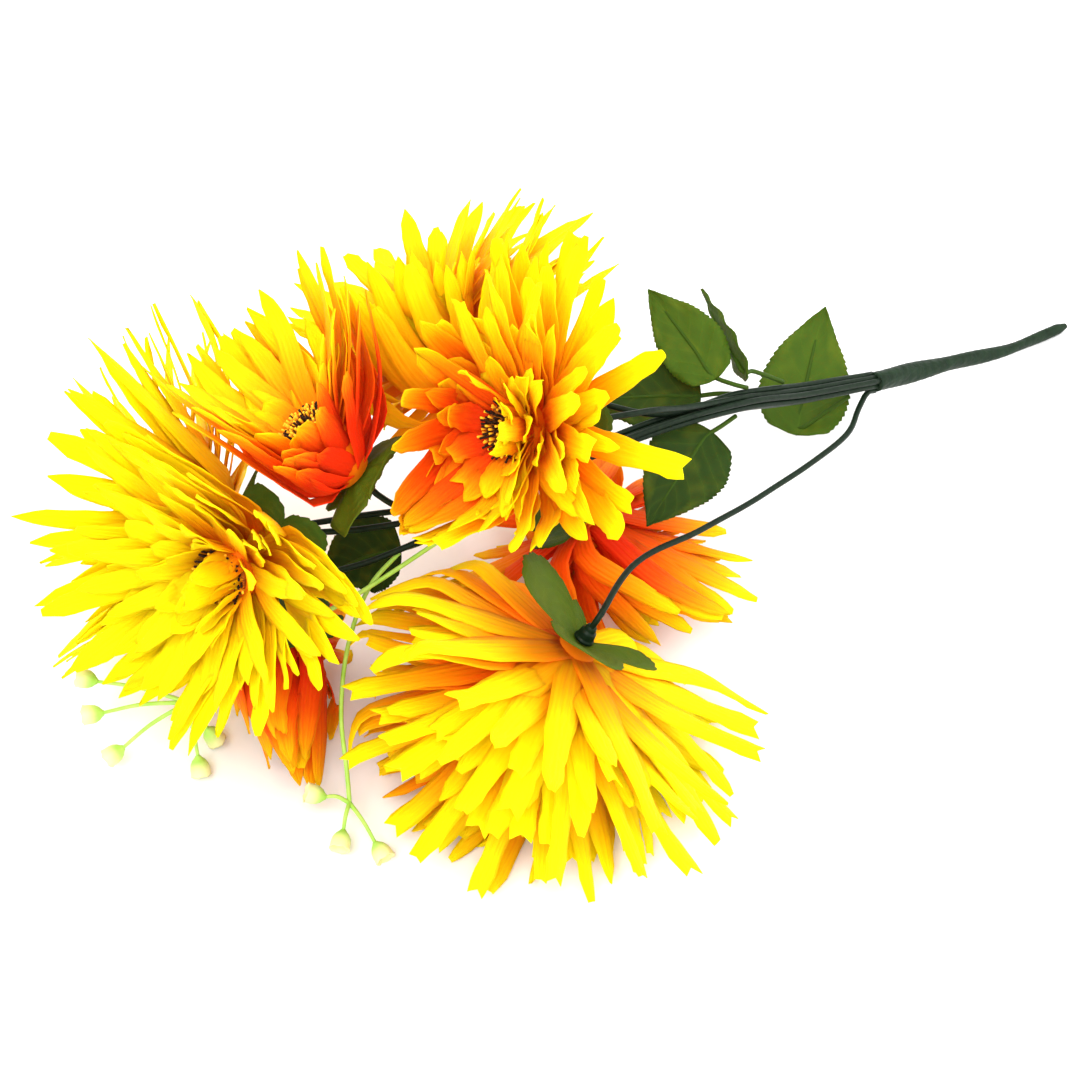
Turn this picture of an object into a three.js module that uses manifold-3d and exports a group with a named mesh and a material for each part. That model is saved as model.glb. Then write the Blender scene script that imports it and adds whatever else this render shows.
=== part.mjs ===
// An artificial bouquet of eight spider chrysanthemums, lying on a table.
// Millimetres, +Z up. +X runs towards the taped end of the stem, the heads lie towards -X.
//
// Each flower head keeps to its own room: flat walls between neighbouring heads, the table below
// and the bundle of wires. Petals grow outwards from a small core in rings and bend along a wall
// that they come near, as fabric petals do when heads are pressed together.

import * as THREE from 'three';
import { mergeVertices } from 'three/addons/utils/BufferGeometryUtils.js';
import Module from 'manifold-3d';

const wasm = await Module();
wasm.setup();

const vec = (x, y, z) => new THREE.Vector3(x, y, z);
const degrees = THREE.MathUtils.degToRad;

// ---- driving dimensions ----------------------------------------------------------------------

const ORIGIN = vec(52.37, 15.17, 0.31);   // middle of the bouquet's footprint, on the table
const SHEET = 0.7;                 // thickness of petals, calyx and leaves
const GAP = 0.35;                  // between pieces that sit on each other
const SHORTEST_EDGE = 0.1;         // slivers under this are closed up after fusing

const PETAL_LENGTH = 62;
const PETAL_WIDTH = 8.8;
const LONG_PROFILE = [0.36, 0.92, 1, 0];       // width at even stations from root to tip
const SHORT_PROFILE = [0.5, 1.05, 0];
const RIB_STEPS = 12;              // steps in which a petal's rib is walked
const SOFT_REACH = 16;             // a petal starts to turn this far from a wall
const FORWARD_LEAN = 0.55;         // how much of the turn goes towards the flower's face
const FACING = 0.4;                // a wall this much before the face is met by the inner rings first
const WALL_GAP = 0.7;              // outermost ring of petals to a wall
const RING_GAP = 1.1;              // each further ring keeps this much more from the wall
const LOOSE = 0.66;                // a petal may keep up to this much more besides
const LEAST_REACH = 0.5;           // a petal squeezed shorter than this share isn't there
const SPREAD = { turn: 0.36, open: 13, length: 0.2, curl: 34, roll: 60 };   // chance from petal to petal

// Rings from the back of the head to the disc. open is the angle from the face direction.
const RINGS = [
  { petals: 11, rise: 0, root: 4.5, reach: 1.0, open: 97, curl: 6, profile: LONG_PROFILE },
  { petals: 11, rise: 5, root: 5.5, reach: 0.98, open: 82, curl: 10, profile: LONG_PROFILE },
  { petals: 10, rise: 10, root: 6.5, reach: 0.9, open: 66, curl: 14, profile: LONG_PROFILE },
  { petals: 7, rise: 14, root: 7.0, reach: 0.74, open: 48, curl: 18, profile: SHORT_PROFILE },
  { petals: 5, rise: 17, root: 9.0, reach: 0.3, open: 26, curl: 24, profile: SHORT_PROFILE },
];

const LEAST_OPEN = 8;              // a petal leans out from the face direction by at least this much

const CORE_RISE = 20;
const CORE_FOOT = -0.9;
const CORE_SIDES = 8;
const CORE_PROFILE = [[0, CORE_FOOT], [6.5, CORE_FOOT], [10.4, 14], [10.4, CORE_RISE], [0, CORE_RISE]];
const MIDDLE_RISE = 14;            // a head's share of the space is measured from here
const DISC_RADIUS = 8.6;
const DISC_HEIGHT = 2.6;
const DISC_RISE = CORE_RISE + GAP;
const DISC_SHOULDER = 0.7;         // the disc's top, as a share of its radius
const STAMENS = 10;
const STAMEN_TURN = 2.4;           // from one stamen to the next, in radians
const STAMEN_EDGE = 2;             // the outermost stamens keep this far in from the disc's edge
const STAMEN_RISE = 0.8;
const STAMEN_LENGTH = 5.5;
const STAMEN_SPREAD = 0.4;

const CALYX_LOBES = 4;
const CALYX_TEETH = [12.5, 18.5, 17, 22, 17, 18.5];   // radii round one lobe
const CALYX_RISE = CORE_FOOT - GAP - SHEET;
const CALYX_DROOP = degrees(17);
const CALYX_PAST = 0.9;            // how far a calyx reaches over its head's own fence

const WIRE_RADIUS = 1.05;
const WIRE_SIDES = 5;
const WIRE_STEP = 12;              // between two bends of a wire
const WIRE_LEAD = 4;               // straight piece where the wires leave the tape
const WIRE_PITCH = 2.6;            // between neighbouring wires of the bundle
const TIED_PITCH = 2.2;            // the same where the tape lets them go
const NECK_LEAD = [15, 5];         // straight piece of wire behind the neck
const SOCKET_RADIUS = 3.4;
const SOCKET_PROFILE = [[0, -9.5], [1.7, -9.5], [2.8, -7], [SOCKET_RADIUS, -3.4], [0, -3.4]];

const TAPE_RADII = [1.9, 2.1, 2.2, 2.5, 2.9, 3.3, 3.7, 4.1];   // from the tip to the wires
const TAPE_ROWS = 20;
const TAPE_SIDES = 8;
const TAPE_RIDGE = 0.09;           // the wrap's ridges, as a share of the radius
const TAPE_TWIST = 0.88;           // turn of the ridges from row to row

const TWIG_RADIUS = 0.8;
const TWIG_STEP = 6;
const TWIG_SINK = 0.6;             // the twig's middle lies this far under the leaf
const TWIG_ENDS = [0.08, 0.3];     // where the twig lies under the leaf, as shares of its length
const LEAF_ROWS = 9;
const LEAF_START = 0.12;           // how far into the round outline the leaf's base is cut
const LEAF_ROUND = 0.8;
const LEAF_TEETH = 0.13;           // depth of the cut edge, as a share of the leaf's width
const LEAF_CUP = SHEET / 12;       // rise of the edges for each millimetre of half width

const STALK_RADIUS = 0.8;
const STALK_SIDES = 4;
const STALK_STEP = 9;
const BRANCH_BEND = { share: 0.55, rise: 2 };
const BUD_PROFILE = [[0, -0.6], [1.3, 0], [3.4, 3.2], [3.0, 6.2], [0, 5.4]];
const BUD_SIDES = 6;
const BUNDLE_ROOM = 8;             // petals stay this far from the middle of the bundle
const BUNDLE_SAMPLES = 60;

// neck is where the stem meets the head, face is the way the flower looks. opening, closing and
// curl bend all petals, by degrees. cup closes them on one side by its length in degrees, trim
// shortens them on one side by its length as a share, and calyxTrim does so to the calyx.
const BLOOMS = [
  {
    neck: vec(11, 17, 104), face: vec(-0.80, -0.25, 0.55), size: 1.0, seed: 11,
    reaches: [1, 0.98, 0.9, 0.74, 0], cup: vec(36, -18, 0),
  },
  { neck: vec(2, 64, 92), face: vec(-0.40, 0.42, 0.80), size: 1.0, seed: 23 },
  {
    neck: vec(-54, 28, 104), face: vec(-0.52, 0.44, 0.73), size: 1.08, seed: 37,
    reaches: [1, 0.98, 0.9, 0.74, 0],
    fences: [{ at: vec(-46, 17, 100), off: vec(0.32, -0.95, -0.05) }], trim: vec(-0.04, -0.5, 0.28),
  },
  { neck: vec(-88, 63, 62), face: vec(-0.84, 0.46, 0.28), size: 1.2, fullness: 0.9, seed: 41 },
  {
    neck: vec(-88, 26, 84), face: vec(-0.80, -0.47, 0.39), size: 1.0, seed: 53,
    reaches: [1, 0.98, 0.9, 0.74, 0],
  },
  {
    neck: vec(-3, -33, 51), face: vec(-0.55, 0, -0.84), size: 1.18, fullness: 1.2,
    reaches: [1, 1, 1, 1, 0], opening: -10, closing: 6, curl: -8, calyx: 1.65,
    calyxTrim: vec(0.77, 0.28, -0.5), seed: 67,
  },
  {
    neck: vec(27, 23, 42), face: vec(0.42, -0.41, -0.81), size: 0.95, fullness: 0.7, seed: 79,
    fences: [{ at: vec(60, 20, 38), off: vec(0.45, 0, 0.9) }],
  },
  {
    neck: vec(-83, 23, 40), face: vec(-0.24, -0.32, -0.90), size: 0.72, fullness: 0.6, seed: 97,
    reaches: [1, 0.98, 0.9, 0, 0],
    fences: [{ at: vec(-95, 18, 52), off: vec(0, 0, 1) }, { at: vec(-112, 20, 40), off: vec(-1, 0, 0) }],
  },
];

// A wall between two heads that isn't half way: it lies by this much nearer to the second, and its
// normal may lean.
const WALL_SHIFTS = [
  { from: 0, to: 2, by: 7, lean: vec(0.32, 0.48, -0.26) },
  { from: 0, to: 4, by: 9 },
  { from: 2, to: 3, by: 8 },
  { from: 4, to: 2, by: 3 },
  { from: 5, to: 0, by: 9 },
  { from: 5, to: 2, by: 26 },
  { from: 5, to: 3, by: 20 },
  { from: 5, to: 4, by: 26, lean: vec(0.1, -0.1, 0.5) },
  { from: 5, to: 6, by: 4 },
  { from: 5, to: 7, by: 26 },
];

// The taped stem from its tip, and the way of the wires on from the end of the tape.
const TAPE = [vec(264, 55, 2.2), vec(248, 53, 4), vec(231, 50, 8), vec(198, 47, 18), vec(162, 42, 30)];
const BUNDLE = [
  vec(162, 42, 30), vec(125, 36, 46), vec(95, 30, 62), vec(60, 25, 73), vec(20, 24, 74), vec(-25, 26, 68),
];

// Each head's wire: its place in the bundle (across, above), how many of the bundle's places it
// follows, and its own way from there to the head.
const WIRES = [
  { slot: [0, 1], shared: 3, way: [vec(70, 24, 78), vec(48, 17, 93)] },
  { slot: [1, 1], shared: 4, way: [vec(36, 46, 78)] },
  { slot: [-1, 1], shared: 5, way: [vec(-12, 22, 75), vec(-34, 18, 82)] },
  { slot: [1, 0], shared: 5, way: [vec(-20, 29, 70), vec(-45, 43, 62)] },
  { slot: [0, 0], shared: 5, way: [vec(-22, 25, 70), vec(-50, 31, 70)] },
  {
    slot: [-1, -1], shared: 1,
    way: [vec(150, 33, 30), vec(138, 22, 33), vec(93, 3, 44), vec(58, -9, 54), vec(27, -17, 61)],
  },
  { slot: [0, -1], shared: 3, way: [vec(62, 27, 68), vec(38, 31, 66)] },
  { slot: [-1, 0], shared: 5, way: [vec(-22, 22, 66), vec(-50, 25, 60), vec(-70, 28, 58)] },
];

// Leaves: a twig from the bundle, the rib from its base to the tip, and the way the leaf looks.
const LEAVES = [
  {
    twig: [vec(99.4, 33.1, 65.1), vec(93, 34, 69.5)],
    rib: [vec(88, 37, 71), vec(86, 55, 77), vec(82, 76, 84)],
    width: 25, look: vec(-0.29, -0.57, 0.77),
  },
  {
    twig: [vec(96.2, 35, 61.7), vec(90, 37.5, 62.5)],
    rib: [vec(84, 39, 63), vec(68, 48, 62), vec(48, 58, 60)],
    width: 31, look: vec(-0.1, -0.3, 0.95),
  },
  {
    twig: [vec(118, 38.1, 54.6), vec(110, 38, 62), vec(104, 38, 67)],
    rib: [vec(99, 33, 71), vec(100, 48, 73), vec(102, 72, 79)],
    width: 18, look: vec(0.89, -0.45, 0),
  },
  {
    twig: [vec(150.3, 40.1, 30.1), vec(140, 40, 26)],
    rib: [vec(127, 38, 22), vec(138, 52, 25), vec(150, 66, 31), vec(162, 78, 38)],
    width: 36, look: vec(-0.25, -0.4, 0.88),
  },
  {
    twig: [vec(92.2, 28, 58.8), vec(84, 25, 60)],
    rib: [vec(80, 25, 60), vec(63, 15, 57), vec(43, 3, 51)],
    width: 32, look: vec(-0.1, -0.5, 0.86),
  },
  {
    twig: [vec(-30.4, 23.1, 62), vec(-35, 27, 57)],
    rib: [vec(-38, 30, 54), vec(-50, 35, 51), vec(-66, 36, 47)],
    width: 30, look: vec(-0.1, -0.3, 0.95),
  },
];

// Filler sprigs: a stalk, and from its end a short branch to each bud.
const SPRIGS = [
  {
    stalk: [
      vec(-22.7, 21, 63.9), vec(-62, 16, 57), vec(-88, 14, 55.5), vec(-110, 17, 54.5), vec(-116, 20, 44),
      vec(-119, 23, 32), vec(-121, 26, 22),
    ],
    buds: [vec(-146, 47, 24), vec(-148, 38, 18), vec(-146, 27, 10), vec(-124, 14, 7), vec(-117, 22, 9)],
  },
  {
    stalk: [
      vec(-40.9, 24.4, 59.6), vec(-54, 20, 54), vec(-68, 8, 44), vec(-78, -6, 28), vec(-83, -20, 14),
      vec(-86, -28, 9),
    ],
    buds: [vec(-93, -24, 12), vec(-92, -36, 7), vec(-84, -44, 5)],
  },
];

// ---- small helpers ---------------------------------------------------------------------------

/** A repeatable series of numbers from 0 to 1. */
function dice(seed) {
  let state = seed;
  return () => {
    state = (state * 16807) % 2147483647;
    return state / 2147483647;
  };
}

/** A geometry as a solid: shared corners merged, faces without area dropped. */
function solid(geometry) {
  const bare = geometry.clone();
  bare.deleteAttribute('normal');
  bare.deleteAttribute('uv');
  const merged = mergeVertices(bare, 1e-4);
  const index = merged.index.array;
  const triVerts = [];
  for (let i = 0; i < index.length; i += 3) {
    const [a, b, c] = index.slice(i, i + 3);
    if (a !== b && b !== c && c !== a) {
      triVerts.push(a, b, c);
    }
  }
  const vertProperties = Float32Array.from(merged.attributes.position.array);
  const mesh = new wasm.Mesh({ numProp: 3, vertProperties, triVerts: Uint32Array.from(triVerts) });
  return new wasm.Manifold(mesh);
}

/** The solids joined; a scrap or a sealed hollow is left out. */
function fuse(solids) {
  const whole = solids.reduce((sum, next) => sum.add(next)).asOriginal().simplify(SHORTEST_EDGE);
  return whole.decompose().reduce((best, next) => (next.volume() > best.volume() ? next : best));
}

/** A solid's surface as a geometry. */
function surface(body) {
  const mesh = body.getMesh();
  const geometry = new THREE.BufferGeometry();
  geometry.setAttribute('position', new THREE.BufferAttribute(mesh.vertProperties, 3));
  geometry.setIndex(new THREE.BufferAttribute(mesh.triVerts, 1));
  return geometry;
}

/** A closed skin over rings of corners, the two ends filled. Both halves of a ring split alike. */
function loft(rings) {
  const count = rings[0].length;
  const faces = [];
  for (let row = 0; row + 1 < rings.length; row += 1) {
    for (let j = 0; j < count; j += 1) {
      const a = row * count + j;
      const b = row * count + ((j + 1) % count);
      const c = b + count;
      const d = a + count;
      if (j < count / 2) {
        faces.push(a, c, b, a, d, c);
      } else {
        faces.push(a, d, b, b, d, c);
      }
    }
  }
  const last = (rings.length - 1) * count;
  for (let j = 1; j + 1 < count; j += 1) {
    faces.push(0, j, j + 1);
    faces.push(last, last + j + 1, last + j);
  }
  const geometry = new THREE.BufferGeometry().setFromPoints(rings.flat());
  geometry.setIndex(faces);
  return geometry;
}

/** A round bar along a smooth line through the points, bent every so many millimetres. */
function bar(points, radius, step, sides = WIRE_SIDES) {
  const corners = [];
  for (let i = 0; i < sides; i += 1) {
    const turn = (2 * Math.PI * i) / sides;
    corners.push(new THREE.Vector2(radius * Math.cos(turn), radius * Math.sin(turn)));
  }
  const extrudePath = new THREE.CatmullRomCurve3(points);
  const steps = Math.ceil(extrudePath.getLength() / step);
  return new THREE.ExtrudeGeometry(new THREE.Shape(corners), { steps, bevelEnabled: false, extrudePath });
}

/** A turned shape of [radius, height] pairs whose axis is laid along a direction from a place. */
function turned(profile, sides, place, direction) {
  const outline = profile.map(([radius, height]) => new THREE.Vector2(radius, height));
  const geometry = new THREE.LatheGeometry(outline, sides);
  geometry.rotateX(Math.PI / 2);
  geometry.applyQuaternion(new THREE.Quaternion().setFromUnitVectors(vec(0, 0, 1), direction));
  geometry.translate(place.x, place.y, place.z);
  return geometry;
}

/** The head's own directions: face, and two across it. */
function axesOf(bloom) {
  const face = bloom.face.clone().normalize();
  const aside = vec(0, 1, 0).cross(face).normalize();
  const above = face.clone().cross(aside);
  return { face, aside, above };
}

/** The direction out from the head's axis at a turn. */
function outward(axes, turn) {
  return axes.aside.clone().multiplyScalar(Math.cos(turn)).addScaledVector(axes.above, Math.sin(turn));
}

// ---- the room of a head ----------------------------------------------------------------------

/** The middle of a head, from which its share of the space is measured. */
function middleOf(bloom) {
  return bloom.neck.clone().addScaledVector(bloom.face.clone().normalize(), MIDDLE_RISE);
}

/** How the wall between two heads is moved towards the second, and how its normal leans. */
function shiftOf(bloom, other) {
  const found = WALL_SHIFTS.find(({ from, to }) => BLOOMS[from] === bloom && BLOOMS[to] === other);
  return { by: found?.by ?? 0, lean: found?.lean ?? vec(0, 0, 0) };
}

/** The wall between two heads. */
function wallBetween(bloom, other) {
  const here = middleOf(bloom);
  const there = middleOf(other);
  const away = shiftOf(bloom, other);
  const back = shiftOf(other, bloom);
  const normal = there.clone().sub(here).normalize().add(away.lean).sub(back.lean).normalize();
  const reach = normal.dot(here.clone().add(there)) / 2 + away.by - back.by;
  return { normal, reach };
}

/** The wall that keeps a head off the bundle of wires. */
function wallToBundle(bloom) {
  const here = middleOf(bloom);
  const places = new THREE.CatmullRomCurve3(BUNDLE).getPoints(BUNDLE_SAMPLES);
  const nearest = places.reduce((best, next) => (
    next.distanceTo(here) < best.distanceTo(here) ? next : best));
  const normal = nearest.clone().sub(here).normalize();
  return { normal, reach: normal.dot(nearest) - BUNDLE_ROOM };
}

/** All the walls of a head. A point is inside where normal . point <= reach. */
function roomOf(bloom) {
  const table = { normal: vec(0, 0, -1), reach: 0 };
  const others = BLOOMS.filter((other) => other !== bloom);
  const fences = (bloom.fences ?? []).map(({ at, off }) => {
    const normal = off.clone().normalize();
    return { normal, reach: normal.dot(at), own: true };
  });
  return [table, ...others.map((other) => wallBetween(bloom, other)), wallToBundle(bloom), ...fences];
}

/** How far a ring of petals keeps from a wall: the ring that lies against it keeps least. */
function gapTo(wall, face, ringIndex) {
  const facing = wall.normal.dot(face) > FACING;
  const order = facing ? RINGS.length - 1 - ringIndex : ringIndex;
  return WALL_GAP + RING_GAP * order;
}

/** Moves a point back inside the room. */
function keepInside(point, room, gaps) {
  for (let pass = 0; pass < 3; pass += 1) {
    room.forEach(({ normal, reach }, i) => {
      const over = normal.dot(point) - (reach - gaps[i]);
      if (over > 0) {
        point.addScaledVector(normal, -over);
      }
    });
  }
  return point;
}

// ---- petals ----------------------------------------------------------------------------------

/** Walks along a petal's rib and returns its places and headings. */
function walkRib(shape, room, gaps) {
  const point = shape.root.clone();
  const way = shape.way.clone();
  const step = shape.length / RIB_STEPS;
  const rib = [{ point: point.clone(), way: way.clone() }];
  for (let i = 0; i < RIB_STEPS; i += 1) {
    way.applyAxisAngle(shape.across, shape.curl / RIB_STEPS);
    room.forEach(({ normal, reach }, k) => {
      const space = reach - gaps[k] - normal.dot(point);
      const push = way.dot(normal);
      if (push > 0 && space < SOFT_REACH) {
        const turn = push * (1 - Math.max(space, 0) / SOFT_REACH);
        way.addScaledVector(normal, -turn);
        way.addScaledVector(shape.face, turn * FORWARD_LEAN);
      }
    });
    way.normalize();
    point.addScaledVector(way, step);
    keepInside(point, room, gaps);
    rib.push({ point: point.clone(), way: way.clone() });
  }
  return rib;
}

/** A thin blade along a rib, its corners kept inside the room. */
function blade(rib, shape, profile, room, gaps) {
  const rings = profile.map((share, k) => {
    const station = (k * RIB_STEPS) / (profile.length - 1);
    const { point, way } = rib[station];
    const side = shape.across.clone().addScaledVector(way, -shape.across.dot(way)).normalize();
    side.applyAxisAngle(way, (shape.roll * k) / (profile.length - 1));
    const half = (shape.width * share) / 2;
    const left = keepInside(point.clone().addScaledVector(side, -half), room, gaps);
    const right = keepInside(point.clone().addScaledVector(side, half), room, gaps);
    const wide = share > 0 ? right.clone().sub(left) : side;
    const lift = wide.clone().cross(way).normalize().multiplyScalar(SHEET / 2);
    return [
      left.clone().sub(lift), right.clone().sub(lift), right.clone().add(lift), left.clone().add(lift),
    ];
  });
  return loft(rings);
}

/** How far a direction goes the way of a lean, which a head may have on one side. */
function towards(out, lean) {
  return lean ? Math.max(0, out.dot(lean)) : 0;
}

/** The petals of one ring as separate blades. */
function ringBlades(bloom, ringIndex, room, draw) {
  const ring = RINGS[ringIndex];
  const axes = axesOf(bloom);
  const count = Math.round(ring.petals * (bloom.fullness ?? 1));
  const pitch = (2 * Math.PI) / count;
  const blades = [];
  for (let i = 0; i < count; i += 1) {
    const turn = pitch * (i + 0.5 * (ringIndex % 2) + SPREAD.turn * (draw() - 0.5));
    const out = outward(axes, turn);
    const tilt = (bloom.opening ?? 0) - (bloom.closing ?? 0) * ringIndex - towards(out, bloom.cup);
    const open = degrees(Math.max(LEAST_OPEN, ring.open + tilt + SPREAD.open * (draw() - 0.5)));
    const kept = 1 - towards(out, bloom.trim);
    const reach = kept * (bloom.reaches ? bloom.reaches[ringIndex] : ring.reach);
    const length = PETAL_LENGTH * bloom.size * reach * (1 + SPREAD.length * (draw() - 0.5));
    const curl = degrees(ring.curl + (bloom.curl ?? 0) + SPREAD.curl * (draw() - 0.5));
    const roll = degrees(SPREAD.roll * kept * (draw() - 0.5));
    const loose = LOOSE * draw();
    const gaps = room.map((wall) => gapTo(wall, axes.face, ringIndex) + loose);
    const shape = {
      root: bloom.neck.clone().addScaledVector(axes.face, ring.rise).addScaledVector(out, ring.root),
      way: axes.face.clone().multiplyScalar(Math.cos(open)).addScaledVector(out, Math.sin(open)),
      across: axes.face.clone().cross(out),
      face: axes.face,
      length,
      curl,
      roll,
      width: PETAL_WIDTH,
    };
    const rib = walkRib(shape, room, gaps);
    if (rib[RIB_STEPS].point.distanceTo(shape.root) > LEAST_REACH * length) {
      blades.push(blade(rib, shape, ring.profile, room, gaps));
    }
  }
  return blades;
}

/** All petals of a head, fused to the moulded core in the middle. */
function petals(bloom) {
  const draw = dice(bloom.seed);
  const room = roomOf(bloom);
  const core = solid(turned(CORE_PROFILE, CORE_SIDES, bloom.neck, axesOf(bloom).face));
  const blades = RINGS.flatMap((ring, i) => ringBlades(bloom, i, room, draw));
  return surface(fuse([core, ...blades.map(solid)]));
}

// ---- disc, calyx and stem of a head ----------------------------------------------------------

/** The dark disc with its stamens. */
function disc(bloom) {
  const draw = dice(bloom.seed + 1);
  const axes = axesOf(bloom);
  const place = bloom.neck.clone().addScaledVector(axes.face, DISC_RISE);
  const shoulder = DISC_RADIUS * DISC_SHOULDER;
  const profile = [[0, 0], [DISC_RADIUS, 0], [shoulder, DISC_HEIGHT], [0, DISC_HEIGHT]];
  const solids = [solid(turned(profile, CORE_SIDES, place, axes.face))];
  for (let i = 0; i < STAMENS; i += 1) {
    const out = outward(axes, i * STAMEN_TURN);
    const radius = (DISC_RADIUS - STAMEN_EDGE) * Math.sqrt((i + 0.5) / STAMENS);
    const foot = place.clone().addScaledVector(out, radius).addScaledVector(axes.face, STAMEN_RISE);
    const length = STAMEN_LENGTH * (1 + STAMEN_SPREAD * (draw() - 0.5));
    solids.push(solid(turned([[0, 0], [1, 0], [0, length]], 3, foot, axes.face)));
  }
  return surface(fuse(solids));
}

/** How far a head's calyx leans back from the petals. A larger sheet hangs further. */
function droopOf(bloom) {
  return CALYX_DROOP * (bloom.calyx ?? 1);
}

/** The green lobed sheet behind the petals. */
function calyx(bloom) {
  const axes = axesOf(bloom);
  const room = roomOf(bloom);
  const gaps = room.map((wall) => (wall.own ? -CALYX_PAST : WALL_GAP));
  const hub = bloom.neck.clone().addScaledVector(axes.face, CALYX_RISE);
  const count = CALYX_LOBES * CALYX_TEETH.length;
  const size = bloom.calyx ?? 1;
  const droop = droopOf(bloom);
  const rim = [];
  for (let i = 0; i < count; i += 1) {
    const out = outward(axes, (2 * Math.PI * i) / count);
    const radius = CALYX_TEETH[i % CALYX_TEETH.length] * size * (1 - towards(out, bloom.calyxTrim));
    const corner = hub.clone().addScaledVector(out, radius * Math.cos(droop));
    corner.addScaledVector(axes.face, -radius * Math.sin(droop));
    rim.push(keepInside(corner, room, gaps));
  }
  const thick = axes.face.clone().multiplyScalar(SHEET);
  return surface(solid(loft([
    rim.map(() => hub.clone().add(thick)),
    rim.map((corner) => corner.clone().add(thick)),
    rim,
    rim.map(() => hub.clone()),
  ])));
}

/** The two directions across the bundle at one of its places. */
function acrossBundle(i) {
  const ahead = BUNDLE[Math.min(i + 1, BUNDLE.length - 1)];
  const behind = BUNDLE[Math.max(i - 1, 0)];
  const along = ahead.clone().sub(behind).normalize();
  const aside = along.clone().cross(vec(0, 0, 1)).normalize();
  return { along, aside, above: aside.clone().cross(along) };
}

/** The places that a head's wire runs through, from the tape to the head. */
function wireWay(bloom, wire) {
  const face = axesOf(bloom).face;
  const [across, over] = wire.slot;
  const points = BUNDLE.slice(0, wire.shared).map((place, i) => {
    const { aside, above } = acrossBundle(i);
    const pitch = i === 0 ? TIED_PITCH : WIRE_PITCH;
    return place.clone().addScaledVector(aside, across * pitch).addScaledVector(above, over * pitch);
  });
  points.splice(1, 0, points[0].clone().addScaledVector(acrossBundle(0).along, WIRE_LEAD));
  const lead = NECK_LEAD.map((length) => bloom.neck.clone().addScaledVector(face, -length));
  return [...points, ...wire.way, ...lead];
}

/** A head's wire with the moulded socket at its end. */
function stem(bloom, wire) {
  const face = axesOf(bloom).face;
  const slack = SOCKET_RADIUS * (Math.tan(droopOf(bloom)) - Math.tan(CALYX_DROOP));
  const socket = turned(SOCKET_PROFILE, CORE_SIDES, bloom.neck.clone().addScaledVector(face, -slack), face);
  return surface(fuse([solid(bar(wireWay(bloom, wire), WIRE_RADIUS, WIRE_STEP)), solid(socket)]));
}

/** The shared end of the wires in its twisted tape. */
function tapedStem() {
  const line = new THREE.CatmullRomCurve3(TAPE);
  const end = acrossBundle(0).along;
  const rings = [];
  for (let row = 0; row <= TAPE_ROWS; row += 1) {
    const share = row / TAPE_ROWS;
    const place = line.getPointAt(share);
    const along = row === TAPE_ROWS ? end : line.getTangentAt(share);
    if (row === TAPE_ROWS) {
      place.addScaledVector(end, -GAP);
    }
    const aside = along.clone().cross(vec(0, 0, 1)).normalize();
    const above = aside.clone().cross(along);
    const at = share * (TAPE_RADII.length - 1);
    const low = Math.min(Math.floor(at), TAPE_RADII.length - 2);
    const radius = TAPE_RADII[low] + (TAPE_RADII[low + 1] - TAPE_RADII[low]) * (at - low);
    const ring = [];
    for (let i = 0; i < TAPE_SIDES; i += 1) {
      const turn = (2 * Math.PI * i) / TAPE_SIDES;
      const reach = radius * (1 + TAPE_RIDGE * Math.sin(2 * turn + TAPE_TWIST * row));
      ring.push(place.clone().addScaledVector(aside, reach * Math.cos(turn))
        .addScaledVector(above, reach * Math.sin(turn)));
    }
    rings.push(ring);
  }
  return surface(solid(loft(rings)));
}

// ---- leaves and sprigs -----------------------------------------------------------------------

/** A serrated leaf with its twig sunk into its underside. */
function leaf({ twig, rib, width, look }) {
  const line = new THREE.CatmullRomCurve3(rib);
  const rings = [];
  for (let row = 0; row <= LEAF_ROWS; row += 1) {
    const share = row / LEAF_ROWS;
    const middle = line.getPointAt(share);
    const along = line.getTangentAt(share);
    const aside = along.clone().cross(look).normalize();
    const lift = aside.clone().cross(along).multiplyScalar(SHEET / 2);
    const tooth = row % 2 === 0 ? 1 - LEAF_TEETH : 1;
    const round = (LEAF_START + (1 - LEAF_START) * share) ** LEAF_ROUND;
    const half = (width / 2) * Math.sin(Math.PI * round) * tooth;
    const edge = lift.clone().setLength(half * LEAF_CUP);
    const left = middle.clone().addScaledVector(aside, -half).add(edge);
    const right = middle.clone().addScaledVector(aside, half).add(edge);
    rings.push([
      left.clone().sub(lift), middle.clone().sub(lift), right.clone().sub(lift),
      right.clone().add(lift), middle.clone().add(lift), left.clone().add(lift),
    ]);
  }
  const under = look.clone().multiplyScalar(-TWIG_SINK);
  const foot = TWIG_ENDS.map((share) => line.getPointAt(share).add(under));
  return surface(fuse([solid(loft(rings)), solid(bar([...twig, ...foot], TWIG_RADIUS, TWIG_STEP))]));
}

/** A pale plastic sprig with its cup shaped buds. */
function sprig({ stalk, buds }) {
  const fork = stalk[stalk.length - 1];
  const solids = [solid(bar(stalk, STALK_RADIUS, STALK_STEP, STALK_SIDES))];
  buds.forEach((bud) => {
    const way = bud.clone().sub(fork).normalize();
    const bend = fork.clone().lerp(bud, BRANCH_BEND.share).add(vec(0, 0, BRANCH_BEND.rise));
    solids.push(solid(bar([fork.clone(), bend, bud.clone()], STALK_RADIUS, STALK_STEP, STALK_SIDES)));
    solids.push(solid(turned(BUD_PROFILE, BUD_SIDES, bud, way)));
  });
  return surface(fuse(solids));
}

// ---- the bouquet -----------------------------------------------------------------------------

const bouquet = new THREE.Group();
bouquet.position.copy(ORIGIN).negate();

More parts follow.
